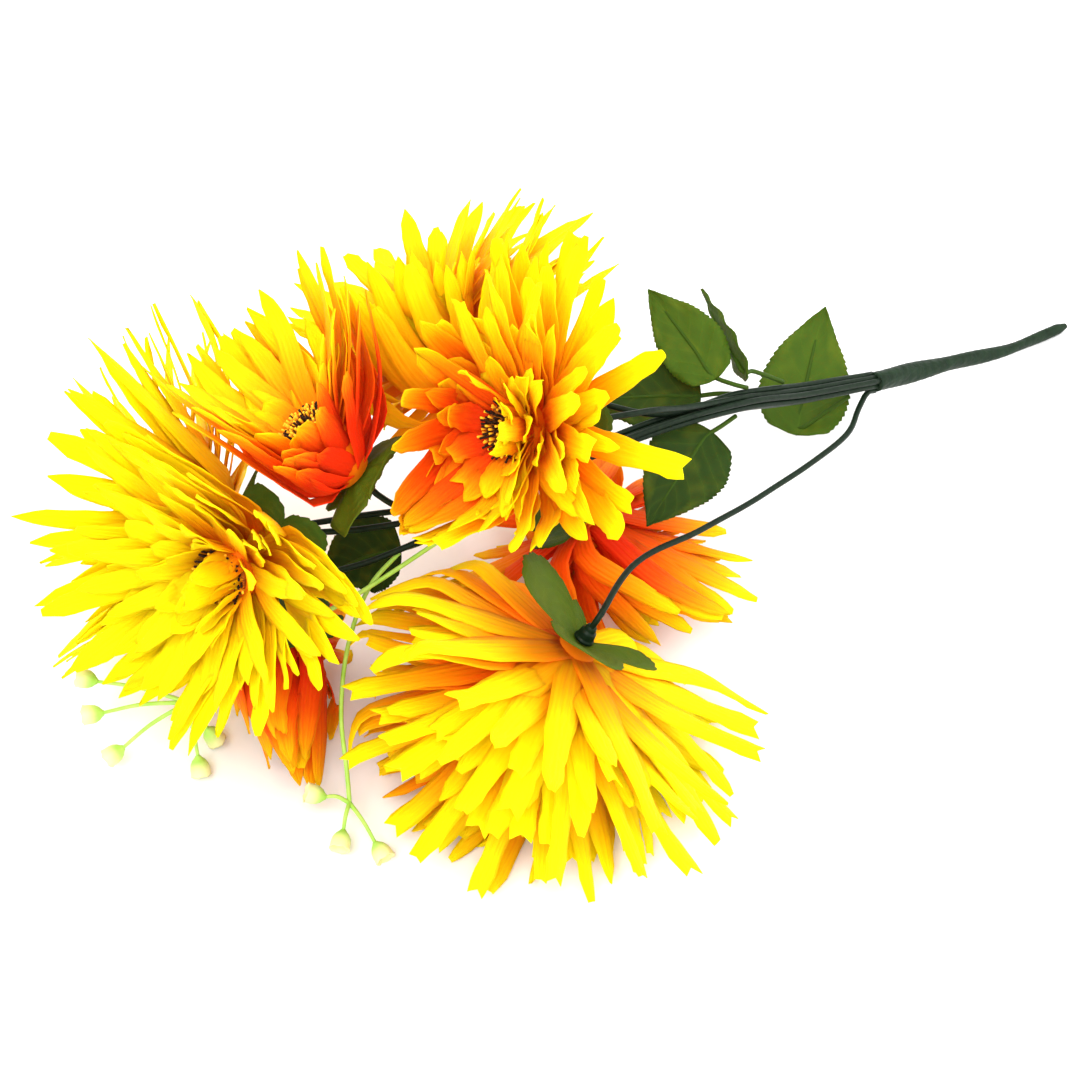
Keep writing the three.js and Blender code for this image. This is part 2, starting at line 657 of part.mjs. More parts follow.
const FINISH = {
  petals: { color: 0xffc400, roughness: 0.75, metalness: 0 },
  disc: { color: 0x2a1608, roughness: 0.9, metalness: 0 },
  green: { color: 0x4a8a1c, roughness: 0.7, metalness: 0 },
  wire: { color: 0x1d2b20, roughness: 0.4, metalness: 0 },
  tape: { color: 0x2f5238, roughness: 0.6, metalness: 0 },
  sprig: { color: 0x9ccc4e, roughness: 0.5, metalness: 0 },
};

/** Adds a piece to the bouquet. */
function add(name, geometry, finish) {
  const mesh = new THREE.Mesh(geometry, new THREE.MeshStandardMaterial(finish));
  mesh.name = name;
  bouquet.add(mesh);
}

BLOOMS.forEach((bloom, i) => {
  add(`bloom_${i + 1}_petals`, petals(bloom), FINISH.petals);
  add(`bloom_${i + 1}_disc`, disc(bloom), FINISH.disc);
  add(`bloom_${i + 1}_calyx`, calyx(bloom), FINISH.green);
  add(`stem_${i + 1}`, stem(bloom, WIRES[i]), FINISH.wire);
});
LEAVES.forEach((shape, i) => add(`leaf_${i + 1}`, leaf(shape), FINISH.green));
SPRIGS.forEach((shape, i) => add(`sprig_${i + 1}`, sprig(shape), FINISH.sprig));
add('taped_stem', tapedStem(), FINISH.tape);

export default bouquet;
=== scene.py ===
"""An artificial bouquet of eight spider chrysanthemum heads, lying on its side.

Every length in the classes below is in millimetres, in the frame in which the bouquet was laid
out. Piece.finish moves a mesh to the row's own frame, in metres.
"""

import logging
import math
from bisect import bisect_right
from dataclasses import dataclass, field, replace
from enum import Enum
from typing import Callable, Iterable, Sequence

import bmesh
import bpy
from mathutils import Matrix, Quaternion, Vector


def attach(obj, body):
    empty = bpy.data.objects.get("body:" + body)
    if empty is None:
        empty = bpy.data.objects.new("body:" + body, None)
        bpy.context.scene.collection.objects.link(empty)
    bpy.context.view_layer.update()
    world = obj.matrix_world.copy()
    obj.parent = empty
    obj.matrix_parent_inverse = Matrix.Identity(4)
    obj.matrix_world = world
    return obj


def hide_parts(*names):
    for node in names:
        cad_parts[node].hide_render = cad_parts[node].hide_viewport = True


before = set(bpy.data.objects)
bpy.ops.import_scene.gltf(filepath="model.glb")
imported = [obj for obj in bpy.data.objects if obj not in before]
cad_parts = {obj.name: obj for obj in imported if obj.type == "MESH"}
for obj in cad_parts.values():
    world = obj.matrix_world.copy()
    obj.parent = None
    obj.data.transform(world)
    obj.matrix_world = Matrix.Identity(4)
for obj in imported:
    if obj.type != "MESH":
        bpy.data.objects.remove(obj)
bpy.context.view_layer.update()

LOG = logging.getLogger("bouquet")

ORIGIN = Vector((52.37, 15.17, 0.31))      # middle of the bouquet's footprint, on the table
MILLIMETRE = 0.001
UP = Vector((0.0, 0.0, 1.0))
PLAIN = Vector((0.0, 0.0, 0.0))            # the tone that leaves a finish as it is
PETAL_CLOTH = 0.34                         # thickness of petals and calyxes
LEAF_CLOTH = 0.45                          # thickness of leaves
DROOP = math.radians(17)                   # how far a calyx hangs back from its head
TAPE_LAPS = 26                             # turns of the tape along its stem
GOLDEN_TURN = 2.39996                      # radians from one stamen to the next

Finish = bpy.types.Material
Object = bpy.types.Object
Socket = bpy.types.NodeSocket
Colour = tuple[float, float, float]
Pairs = tuple[tuple[float, float], ...]
Places = tuple[Vector, ...]
Stops = tuple[tuple[float, Colour], ...]


class Slot(Enum):
    """The material slots of the record."""

    PETAL = "petal_fabric"
    STAMEN = "stamen"
    LEAF = "leaf_fabric"
    WIRE = "wire_plastic"
    TAPE = "floral_tape"
    SPRIG = "sprig_plastic"


class Tip(Enum):
    """How a petal is cut: shares of its width near and at the end, and the notch's depth."""

    POINTED = (0.62, 0.06, 0.0)
    BLUNT = (0.8, 0.3, 0.0)
    CUT = (0.9, 0.6, 0.15)
    NOTCHED = (0.98, 0.8, 0.55)


class Throw(Enum):
    """What a head's dice are thrown for: what is added to its seed."""

    RINGS = 0
    CUT = 1000
    EXTRA = 2000
    STAMENS = 3000


SPIKY = (Tip.POINTED, Tip.POINTED, Tip.POINTED, Tip.BLUNT)
MIXED = (Tip.POINTED, Tip.BLUNT, Tip.CUT, Tip.NOTCHED)
OPEN = (1.0, 0.98, 0.9, 0.74, 0.0)         # reaches of a head whose disc shows


# ---- numbers and lines -----------------------------------------------------------------------


class Dice:
    """A repeatable series of numbers from 0 to 1."""

    FACTOR = 16807
    TOP = 2147483647

    def __init__(self, seed: int) -> None:
        """Starts the series.

        Args:
            seed: A whole number above 0.
        """
        self.state = seed

    def roll(self) -> float:
        """Returns the next number from 0 to 1."""
        self.state = (self.state * self.FACTOR) % self.TOP
        return self.state / self.TOP

    def spread(self, width: float) -> float:
        """Returns the next number, centred on 0 in a band of that width."""
        return width * (self.roll() - 0.5)


def vec(x: float, y: float, z: float) -> Vector:
    """Returns a place or direction."""
    return Vector((x, y, z))


def through(stops: Sequence[tuple[float, float]], share: float) -> float:
    """Reads a value between the stops of a list.

    Args:
        stops: Pairs of share and value, in rising order of share.
        share: Where to read.

    Returns:
        The value there, in a straight run between two stops.
    """
    index = max(1, min(bisect_right([stop[0] for stop in stops], share), len(stops) - 1))
    low, high = stops[index - 1], stops[index]
    step = min(max((share - low[0]) / (high[0] - low[0]), 0.0), 1.0)
    return low[1] + (high[1] - low[1]) * step


def placed(name: str, data: bpy.types.ID) -> Object:
    """Makes an object and places it in the scene.

    Args:
        name: The object's name.
        data: Its mesh, lamp or camera.

    Returns:
        The new object.
    """
    made = bpy.data.objects.new(name, data)
    bpy.context.scene.collection.objects.link(made)
    return made


class Line:
    """A smooth line through places, read by the share of its length."""

    SAMPLES = 24
    NEAR = 0.004

    def __init__(self, places: Sequence[Vector]) -> None:
        """Samples the line.

        Args:
            places: The places that it runs through.
        """
        self.points = [self._between(places, i, k / self.SAMPLES)
                       for i in range(len(places) - 1) for k in range(self.SAMPLES)]
        self.points.append(places[-1].copy())
        self.marks = [0.0]
        for before, after in zip(self.points, self.points[1:]):
            self.marks.append(self.marks[-1] + (after - before).length)
        self.length = self.marks[-1]

    @staticmethod
    def _between(places: Sequence[Vector], i: int, step: float) -> Vector:
        """Finds a place between two, on a centripetal Catmull-Rom curve.

        Args:
            places: The places that the line runs through.
            i: The number of the place before.
            step: How far on to the next place, from 0 to 1.

        Returns:
            The place found.
        """
        p1, p2 = places[i], places[i + 1]
        p0 = places[i - 1] if i > 0 else p1 * 2 - p2
        p3 = places[i + 2] if i + 2 < len(places) else p2 * 2 - p1
        d0, d1, d2 = (max((b - a).length, 1e-4) ** 0.5 for a, b in ((p0, p1), (p1, p2), (p2, p3)))
        t1 = ((p1 - p0) / d0 - (p2 - p0) / (d0 + d1) + (p2 - p1) / d1) * d1
        t2 = ((p2 - p1) / d1 - (p3 - p1) / (d1 + d2) + (p3 - p2) / d2) * d1
        square = (p2 - p1) * 3 - t1 * 2 - t2
        cube = (p1 - p2) * 2 + t1 + t2
        return p1 + t1 * step + square * step ** 2 + cube * step ** 3

    def at(self, share: float) -> Vector:
        """Finds a place on the line.

        Args:
            share: The share of the length, from 0 to 1.

        Returns:
            The place there.
        """
        mark = min(max(share, 0.0), 1.0) * self.length
        index = max(1, min(bisect_right(self.marks, mark), len(self.marks) - 1))
        low, high = self.marks[index - 1], self.marks[index]
        return self.points[index - 1].lerp(self.points[index], (mark - low) / max(high - low, 1e-9))

    def heading(self, share: float) -> Vector:
        """Returns the direction at a share of the length."""
        return (self.at(share + self.NEAR) - self.at(share - self.NEAR)).normalized()


# ---- pieces ----------------------------------------------------------------------------------


@dataclass
class Piece:
    """A mesh in the making, with its slot and the parts of the model that it stands for."""

    name: str
    slot: Slot
    stands_for: tuple[str, ...] = ()
    mesh: bmesh.types.BMesh = field(default_factory=bmesh.new)

    def __post_init__(self) -> None:
        """Adds the layers that the finishes read."""
        self.uv = self.mesh.loops.layers.uv.new("UVMap")
        self.tone = self.mesh.verts.layers.float_vector.new("tone")

    def patch(self, columns: int, rows: int, place: Callable[[float, float], Vector],
              tone: Vector, turned_over: bool = False) -> None:
        """Lays a grid of faces over a surface.

        Args:
            columns: Faces across.
            rows: Faces along.
            place: Gives the place for a share across and a share along, each from 0 to 1.
            tone: What the finish reads as the patch's tone.
            turned_over: Whether the faces look the other way.
        """
        made = bmesh.ops.create_grid(self.mesh, x_segments=columns, y_segments=rows, size=0.5)
        shares = {vert: (vert.co.x + 0.5, vert.co.y + 0.5) for vert in made["verts"]}
        faces = {face for vert in shares for face in vert.link_faces}
        for face in faces:
            for loop in face.loops:
                loop[self.uv].uv = shares[loop.vert]
        for vert, (across, along) in shares.items():
            vert.co = place(across, along)
            vert[self.tone] = tone
        if turned_over:
            bmesh.ops.reverse_faces(self.mesh, faces=list(faces))

    def tube(self, line: Line, radius: Callable[[float, float], float], rings: int, sides: int,
             tone: Vector) -> None:
        """Sweeps a closed tube along a line.

        Args:
            line: The tube's middle.
            radius: Gives the radius for a share along and a turn in radians.
            rings: Rings of corners along the tube.
            sides: Corners in each ring.
            tone: What the finish reads as the tube's tone.
        """
        heading = line.heading(0.0)
        aside = heading.orthogonal().normalized()
        loops = []
        for k in range(rings):
            share = k / (rings - 1)
            ahead = line.heading(share)
            aside = heading.rotation_difference(ahead) @ aside
            heading = ahead
            over = heading.cross(aside)
            made = bmesh.ops.create_circle(self.mesh, segments=sides, radius=1.0)["verts"]
            for i, vert in enumerate(made):
                turn = 2 * math.pi * i / sides
                reach = radius(share, turn)
                vert.co = line.at(share) + (aside * math.cos(turn) + over * math.sin(turn)) * reach
                vert[self.tone] = vec(tone.x, share, tone.z)
            loops.append(made)
        for before, after in zip(loops, loops[1:]):
            edges = {edge for vert in before + after for edge in vert.link_edges
                     if all(end in before or end in after for end in edge.verts)}
            bmesh.ops.bridge_loops(self.mesh, edges=[edge for edge in edges if len(edge.link_faces) < 2])
        for ring in (loops[0], loops[-1]):
            bmesh.ops.contextual_create(self.mesh, geom=ring)

    def lathe(self, profile: Sequence[tuple[float, float]], sides: int, place: Vector,
              direction: Vector, tone: Vector) -> list[bmesh.types.BMVert]:
        """Turns an outline round an axis.

        Args:
            profile: Pairs of radius and height, from the axis back to the axis.
            sides: Steps of the full turn.
            place: Where height 0 lies.
            direction: The way of the axis.
            tone: What the finish reads as the turned shape's tone.

        Returns:
            The shape's corners.
        """
        verts = [self.mesh.verts.new((radius, 0.0, height)) for radius, height in profile]
        edges = [self.mesh.edges.new(pair) for pair in zip(verts, verts[1:])]
        bmesh.ops.spin(self.mesh, geom=verts + edges, cent=(0, 0, 0), axis=(0, 0, 1),
                       angle=2 * math.pi, steps=sides, use_merge=True)
        whole = set(verts)
        stack = list(verts)
        while stack:
            for edge in stack.pop().link_edges:
                for end in edge.verts:
                    if end not in whole:
                        whole.add(end)
                        stack.append(end)
        bmesh.ops.remove_doubles(self.mesh, verts=list(whole), dist=1e-4)
        whole = {vert for vert in whole if vert.is_valid}
        turn = UP.rotation_difference(direction).to_matrix().to_4x4()
        bmesh.ops.transform(self.mesh, matrix=Matrix.Translation(place) @ turn, verts=list(whole))
        for vert in whole:
            vert[self.tone] = tone
        faces = {face for vert in whole for face in vert.link_faces}
        bmesh.ops.recalc_face_normals(self.mesh, faces=list(faces))
        return list(whole)

    def finish(self, material: Finish, thickness: float = 0.0) -> Object:
        """Makes the object, in the row's frame and in metres.

        Args:
            material: The piece's finish.
            thickness: Thickness in millimetres that a sheet is given.

        Returns:
            The finished object.
        """
        for vert in self.mesh.verts:
            vert.co = (vert.co - ORIGIN) * MILLIMETRE
        for face in self.mesh.faces:
            face.smooth = True
        data = bpy.data.meshes.new(self.name)
        self.mesh.to_mesh(data)
        self.mesh.free()
        data.materials.append(material)
        made = placed(self.name, data)
        if thickness:
            solidify = made.modifiers.new("thickness", "SOLIDIFY")
            solidify.thickness = thickness * MILLIMETRE
            solidify.offset = 0.0
        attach(made, "root")
        if self.stands_for:
            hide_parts(*self.stands_for)
        return made


# ---- finishes --------------------------------------------------------------------------------


class Graph:
    """A material's nodes, with its Principled shader."""

    def __init__(self, name: str, roughness: float, **sockets: float | tuple) -> None:
        """Makes the material.

        Args:
            name: The material's name.
            roughness: The shader's roughness.
            sockets: Other values for the shader, spaces in their names written as underscores.
        """
        self.material = bpy.data.materials.new(name)
        self.material.use_nodes = True
        self.nodes = self.material.node_tree.nodes
        self.links = self.material.node_tree.links
        self.shader = self.nodes["Principled BSDF"]
        self.shader.inputs["Roughness"].default_value = roughness
        for key, value in sockets.items():
            self.shader.inputs[key.replace("_", " ")].default_value = value

    def add(self, kind: str, inputs: dict | None = None, **settings: object) -> bpy.types.Node:
        """Adds a node.

        Args:
            kind: The node's type, without ShaderNode in front.
            inputs: A number, colour or socket for each named or numbered input.
            settings: Values for the node's own settings.

        Returns:
            The new node.
        """
        node = self.nodes.new("ShaderNode" + kind)
        for key, value in settings.items():
            setattr(node, key, value)
        for key, value in (inputs or {}).items():
            if isinstance(value, Socket):
                self.links.new(value, node.inputs[key])
            else:
                node.inputs[key].default_value = value
        return node

    def math(self, operation: str, first: object, second: object = 0.0,
             third: object = 0.0) -> Socket:
        """Returns the outcome of a sum on numbers or sockets."""
        return self.add("Math", {0: first, 1: second, 2: third}, operation=operation).outputs[0]

    def sway(self, factor: Socket, width: float) -> Socket:
        """Returns a factor from 0 to 1, centred on 0 in a band of that width."""
        return self.math("MULTIPLY", self.math("SUBTRACT", factor, 0.5), width)

    def weave(self) -> tuple[Socket, ...]:
        """Returns the cloth's own map, and its share across and along."""
        cloth = self.add("UVMap", uv_map="UVMap").outputs[0]
        across, along, _ = self.add("SeparateXYZ", {0: cloth}).outputs
        return cloth, across, along

    def tone(self) -> Sequence[Socket]:
        """Returns the three numbers of the tone layer."""
        layer = self.add("Attribute", attribute_name="tone").outputs["Vector"]
        return self.add("SeparateXYZ", {0: layer}).outputs

    def ramp(self, factor: Socket, stops: Stops) -> Socket:
        """Returns a colour read from a ramp.

        Args:
            factor: What the ramp is read by.
            stops: Pairs of position and colour.

        Returns:
            The colour socket.
        """
        node = self.add("ValToRGB", {0: factor})
        elements = node.color_ramp.elements
        while len(elements) < len(stops):
            elements.new(0.5)
        for element, (position, colour) in zip(elements, stops):
            element.position = position
            element.color = (*colour, 1.0)
        return node.outputs["Color"]

    def mix(self, factor: object, first: object, second: object) -> Socket:
        """Mixes two colours.

        Args:
            factor: How much of the second there is, from 0 to 1.
            first: A socket or three numbers.
            second: The same.

        Returns:
            The mixed colour's socket.
        """
        first, second = ((*each, 1.0) if isinstance(each, tuple) else each for each in (first, second))
        return self.add("Mix", {0: factor, 6: first, 7: second}, data_type="RGBA").outputs[2]

    def colour(self, socket: Socket) -> None:
        """Links the shader's base colour."""
        self.links.new(socket, self.shader.inputs["Base Color"])

    def bump(self, height: Socket, distance: float, strength: float = 1.0) -> None:
        """Adds relief to the shader, over what it has already.

        Args:
            height: The relief from 0 to 1.
            distance: Its depth in metres.
            strength: How much of it shows.
        """
        node = self.add("Bump", {"Height": height, "Distance": distance, "Strength": strength})
        normal = self.shader.inputs["Normal"]
        if normal.links:
            self.links.new(normal.links[0].from_socket, node.inputs["Normal"])
        self.links.new(node.outputs["Normal"], normal)

    def noise(self, coordinates: Socket, scale: float, detail: float = 2.0,
              stretch: tuple[float, float, float] = (1.0, 1.0, 1.0)) -> Socket:
        """Returns noise from 0 to 1 over coordinates, stretched where asked."""
        mapping = self.add("Mapping", {"Vector": coordinates, "Scale": stretch})
        return self.add("TexNoise", {"Vector": mapping.outputs[0], "Scale": scale,
                                     "Detail": detail}).outputs[0]

    def wave(self, coordinates: Socket, direction: str, bands: float,
             distortion: float = 0.0) -> Socket:
        """Returns bands from 0 to 1, that many for each unit of the coordinates."""
        return self.add("TexWave", {"Vector": coordinates, "Scale": bands * math.pi / 10,
                                    "Distortion": distortion}, bands_direction=direction).outputs[1]


@dataclass(frozen=True)
class PetalFabric:
    """Thin woven fabric, dyed from red at the foot of a petal to yellow at its tip, with painted shade that
    reddens it deep in a head.
    """

    name: str = "petal fabric"
    threads_across: float = 34.0
    threads_along: float = 230.0
    thread_height: float = 0.00004
    pleats: float = 5.0
    pleat_height: float = 0.0002
    crumple_height: float = 0.0006
    uneven_dye: float = 0.2
    streak: float = 0.32
    warm_shift: float = 0.6
    dye: Stops = (
        (0.0, (0.80, 0.02, 0.001)), (0.16, (0.95, 0.07, 0.001)), (0.30, (1.0, 0.19, 0.001)),
        (0.44, (1.0, 0.36, 0.001)), (0.58, (1.0, 0.57, 0.001)), (0.74, (1.0, 0.78, 0.001)),
    )
    # painted shade: the red-orange that the petals take deep in the head, where shade falls
    inner_shade_tint: Colour = (1.0, 0.22, 0.001)

    def material(self) -> Finish:
        """Returns the finish. The tone layer holds chance, warmth and depth in the head; warmth is partly
        painted shade, and depth adds painted shade.
        """
        graph = Graph(
            self.name, 0.7, Specular_IOR_Level=0.08, Subsurface_Weight=0.4, Subsurface_Scale=0.004,
            Subsurface_Radius=(1.0, 0.6, 0.05), Sheen_Weight=0.03, Sheen_Tint=(1.0, 0.75, 0.1, 1.0),
        )
        cloth, _, along = graph.weave()
        chance, warmth, depth = graph.tone()
        streaks = graph.noise(cloth, 2.5, 3.0, (4.0, 0.8, 1.0))
        along = graph.math("ADD", along, graph.sway(chance, self.uneven_dye))
        along = graph.math("ADD", along, graph.sway(streaks, self.streak))
        # the warmth, both the dye's own tone and painted shade, moves the ramp towards red
        along = graph.math("SUBTRACT", along, graph.math("MULTIPLY", warmth, self.warm_shift))
        dyed = graph.ramp(graph.math("MULTIPLY_ADD", along, 0.66, 0.34), self.dye)
        # painted shade: the deeper in the head, the more the colour goes to the shade's red-orange
        graph.colour(graph.mix(graph.math("MULTIPLY", depth, 0.1), dyed, self.inner_shade_tint))
        threads = graph.math("ADD", graph.wave(cloth, "X", self.threads_across),
                             graph.wave(cloth, "Y", self.threads_along))
        graph.bump(threads, self.thread_height, 0.6)
        graph.bump(graph.wave(cloth, "X", self.pleats, 0.6), self.pleat_height, 0.7)
        graph.bump(graph.noise(cloth, 4.0, 2.0, (2.0, 1.2, 1.0)), self.crumple_height, 0.5)
        return graph.material


@dataclass(frozen=True)
class LeafFabric:
    """Thin green fabric with a printed midrib and side veins."""

    name: str = "leaf fabric"
    light: Colour = (0.058, 0.115, 0.003)
    # painted shade: the dark green of a leaf that lies in the shade
    dark: Colour = (0.009, 0.024, 0.0015)
    olive: Colour = (0.085, 0.12, 0.003)
    mottled: Colour = (0.012, 0.04, 0.002)
    faded: Colour = (0.12, 0.15, 0.005)
    printed: Colour = (0.09, 0.16, 0.008)
    veins: int = 7
    vein_slant: float = 0.55
    midrib: float = 0.012
    threads_across: float = 90.0
    threads_along: float = 170.0
    thread_height: float = 0.00004
    vein_height: float = 0.0003
    crumple_height: float = 0.0006

    def material(self) -> Finish:
        """Returns the finish. The tone layer holds painted shade, nothing and olive."""
        graph = Graph(self.name, 0.65, Specular_IOR_Level=0.12, Subsurface_Weight=0.1,
                      Subsurface_Scale=0.002)
        cloth, across, along = graph.weave()
        leaf_shade, _, olive = graph.tone()
        middle = graph.math("ABSOLUTE", graph.math("SUBTRACT", across, 0.5))
        slant = graph.math("SUBTRACT", along, graph.math("MULTIPLY", middle, self.vein_slant))
        bands = graph.math("SINE", graph.math("MULTIPLY", slant, self.veins * math.pi))
        veins = graph.math("SUBTRACT", 1.0, graph.math("POWER", graph.math("ABSOLUTE", bands), 0.25))
        rib = graph.math("LESS_THAN", middle, self.midrib)
        ink = graph.math("MINIMUM", graph.math("ADD", veins, rib), 1.0)
        mottle = graph.noise(cloth, 5.0, 4.0)
        sun = graph.ramp(graph.noise(cloth, 2.2, 2.0), ((0.5, (0.0,) * 3), (0.7, (0.35,) * 3)))
        # painted shade: a leaf or calyx that lies in the shade is mixed towards the dark green
        base = graph.mix(leaf_shade, self.light, self.dark)
        base = graph.mix(olive, base, self.olive)
        base = graph.mix(graph.math("MULTIPLY", mottle, 0.6), base, self.mottled)
        base = graph.mix(sun, base, self.faded)
        graph.colour(graph.mix(graph.math("MULTIPLY", ink, 0.2), base, self.printed))
        threads = graph.math("ADD", graph.wave(cloth, "X", self.threads_across),
                             graph.wave(cloth, "Y", self.threads_along))
        graph.bump(threads, self.thread_height, 0.5)
        graph.bump(ink, self.vein_height, 0.6)
        graph.bump(mottle, self.crumple_height, 0.5)
        return graph.material


@dataclass(frozen=True)
class StamenFibre:
    """Dark brown fibres, some with an orange or yellow tip."""

    name: str = "stamen fibre"
    ripening: Stops = (
        (0.0, (0.012, 0.005, 0.002)), (0.3, (0.05, 0.018, 0.004)), (0.55, (0.45, 0.14, 0.006)),
        (0.8, (0.9, 0.42, 0.01)), (1.0, (1.0, 0.66, 0.03)),
    )
    relief: float = 0.0003

    def material(self) -> Finish:
        """Returns the finish. The tone layer's first number goes from brown to yellow."""
        graph = Graph(self.name, 0.8, Specular_IOR_Level=0.2)
        speck = graph.noise(graph.add("TexCoord").outputs["Object"], 900.0, 2.0)
        ripe = graph.math("ADD", graph.tone()[0], graph.sway(speck, 0.5))
        graph.colour(graph.ramp(ripe, self.ripening))
        graph.bump(speck, self.relief, 0.7)
        return graph.material


@dataclass(frozen=True)
class Plastic:
    """Moulded or coated plastic, a little uneven in colour and surface."""

    name: str
    dark: Colour
    light: Colour
    roughness: float
    grain: float = 500.0
    specular: float = 0.3
    relief: float = 0.0002
    cream: Colour = (0.86, 0.80, 0.42)

    def material(self) -> Finish:
        """Returns the finish. The tone layer's third number lightens towards cream."""
        graph = Graph(self.name, self.roughness, Specular_IOR_Level=self.specular)
        patches = graph.noise(graph.add("TexCoord").outputs["Object"], self.grain, 4.0)
        body = graph.ramp(patches, ((0.3, self.dark), (0.7, self.light)))
        graph.colour(graph.mix(graph.tone()[2], body, self.cream))
        graph.bump(patches, self.relief, 0.6)
        return graph.material


@dataclass(frozen=True)
class FloralTape:
    """Stretched paper tape, wrapped in a steep spiral with a lap at each turn."""

    name: str = "floral tape"
    dark: Colour = (0.004, 0.011, 0.004)
    light: Colour = (0.011, 0.028, 0.011)
    edge: Colour = (0.006, 0.02, 0.012)
    edge_start: float = 0.86
    lap_height: float = 0.0006
    crease_height: float = 0.0008

    def material(self) -> Finish:
        """Returns the finish. The tone layer's second number is the share along the stem."""
        graph = Graph(self.name, 0.55, Specular_IOR_Level=0.12)
        chance, along, _ = graph.tone()
        lap = graph.math("FRACT", graph.math("ADD", graph.math("MULTIPLY", along, TAPE_LAPS), chance))
        creases = graph.noise(graph.add("TexCoord").outputs["Object"], 420.0, 5.0, (0.35, 1.0, 1.0))
        body = graph.ramp(creases, ((0.25, self.dark), (0.75, self.light)))
        at_edge = graph.math("MULTIPLY", graph.math("GREATER_THAN", lap, self.edge_start), 0.5)
        graph.colour(graph.mix(at_edge, body, self.edge))
        graph.bump(lap, self.lap_height, 0.7)
        graph.bump(creases, self.crease_height, 0.8)
        return graph.material


# ---- how the heads lie -----------------------------------------------------------------------


@dataclass(frozen=True)
class Wall:
    """A flat wall. A place is inside where normal . place <= reach."""

    normal: Vector
    reach: float
    own: bool = False

    @classmethod
    def fence(cls, at: Vector, off: Vector) -> "Wall":
        """Returns the wall through a place, looking in a direction."""
        normal = off.normalized()
        return cls(normal, normal.dot(at), own=True)


@dataclass
class Head:
    """One flower head: where it is held, how it looks and how full it is.

    Side_tint_and_shade, cover, cup, trim and calyx_trim are directions out from the head's axis:
    petals or calyx lobes on that side are, in turn, made warmer, leant over the disc, folded up or
    cut shorter, the more so the longer the direction; the warmer side is painted shade, and on
    head 3 it also reddens the outside's own colour. Opening, closing, curl and shut are in degrees.
    Reaches replaces the rings' own reaches. Warmth reddens all petals, as the dye's own tone and,
    on heads 7 and 8, which lie face down in the shade, as painted shade. Back_warmth reddens the
    outer ones, and inner_shade paints the inner ones redder as the shade deep in the head.
    Calyx_shade darkens the calyx as painted shade. Between two rings lie as many layers as layers
    says, of petals that are slim and wild, and crowd is how straight such a petal has to stay to be
    kept. Ripe is the share of stamens with a yellow end.
    """

    neck: Vector
    face: Vector
    size: float
    seed: int
    fullness: float = 1.0
    curl: float = 0.0
    opening: float = 0.0
    closing: float = 0.0
    calyx: float = 1.0
    reaches: tuple[float, ...] | None = None
    fences: tuple[Wall, ...] = ()
    # the dye's own tone, and painted shade on heads 7 and 8
    warmth: float = 0.3
    back_warmth: float = 0.0
    # painted shade: the inner petals are made redder, standing in for the shade deep in the head
    inner_shade: float = 0.0
    # painted shade: petals on the side this points to are made warmer to stand in for the shade there; on
    # head 3 it reddens the outside's own colour
    side_tint_and_shade: Vector = field(default_factory=Vector)
    ruffle: float = 0.5
    tips: tuple[Tip, ...] = SPIKY
    shut: float = 0.0
    sheet: float = 0.15
    layers: int = 2
    slim: float = 0.85
    wild: float = 1.6
    cover: Vector = field(default_factory=Vector)
    cup: Vector = field(default_factory=Vector)
    trim: Vector = field(default_factory=Vector)
    calyx_trim: Vector = field(default_factory=Vector)
    crowd: float = 0.5
    ripe: float = 0.4
    core_rise: float = 20.0
    # painted shade: how far the calyx is darkened for the shade behind its head
    calyx_shade: float = 0.35
    calyx_olive: float = 0.0

    def __post_init__(self) -> None:
        """Works out the head's own directions."""
        self.face = self.face.normalized()
        self.aside = vec(0, 1, 0).cross(self.face).normalized()
        self.above = self.face.cross(self.aside)

    def outward(self, turn: float) -> Vector:
        """Returns the direction out from the head's axis at a turn."""
        return self.aside * math.cos(turn) + self.above * math.sin(turn)

    def dice(self, throw: Throw) -> Dice:
        """Returns the head's dice for a throw."""
        return Dice(self.seed + throw.value)

    @property
    def middle(self) -> Vector:
        """The place from which the head's share of the space is measured."""
        return self.neck + self.face * (self.core_rise * 0.7)


@dataclass
class Room:
    """The space that a head keeps to."""

    walls: list[Wall]
    wall_gap: float = 0.7
    ring_gap: float = 1.1
    facing: float = 0.4
    rounds: int = 3

    def gaps(self, face: Vector, ring: float, rings: int, loose: float) -> list[float]:
        """Works out how far a ring of petals keeps from each wall.

        Args:
            face: The way that the head looks.
            ring: The ring's number from the back of the head.
            rings: How many rings there are.
            loose: What this petal keeps besides.

        Returns:
            One distance for each wall.
        """
        before = self.wall_gap + loose + self.ring_gap * (rings - 1 - ring)
        behind = self.wall_gap + loose + self.ring_gap * ring
        return [before if wall.normal.dot(face) > self.facing else behind for wall in self.walls]

    def keep(self, point: Vector, gaps: Sequence[float]) -> Vector:
        """Moves a point back inside the room.

        Args:
            point: The point.
            gaps: What it keeps from each wall.

        Returns:
            The point inside.
        """
        for _ in range(self.rounds):
            for wall, gap in zip(self.walls, gaps):
                over = wall.normal.dot(point) - (wall.reach - gap)
                if over > 0:
                    point = point - wall.normal * over
        return point


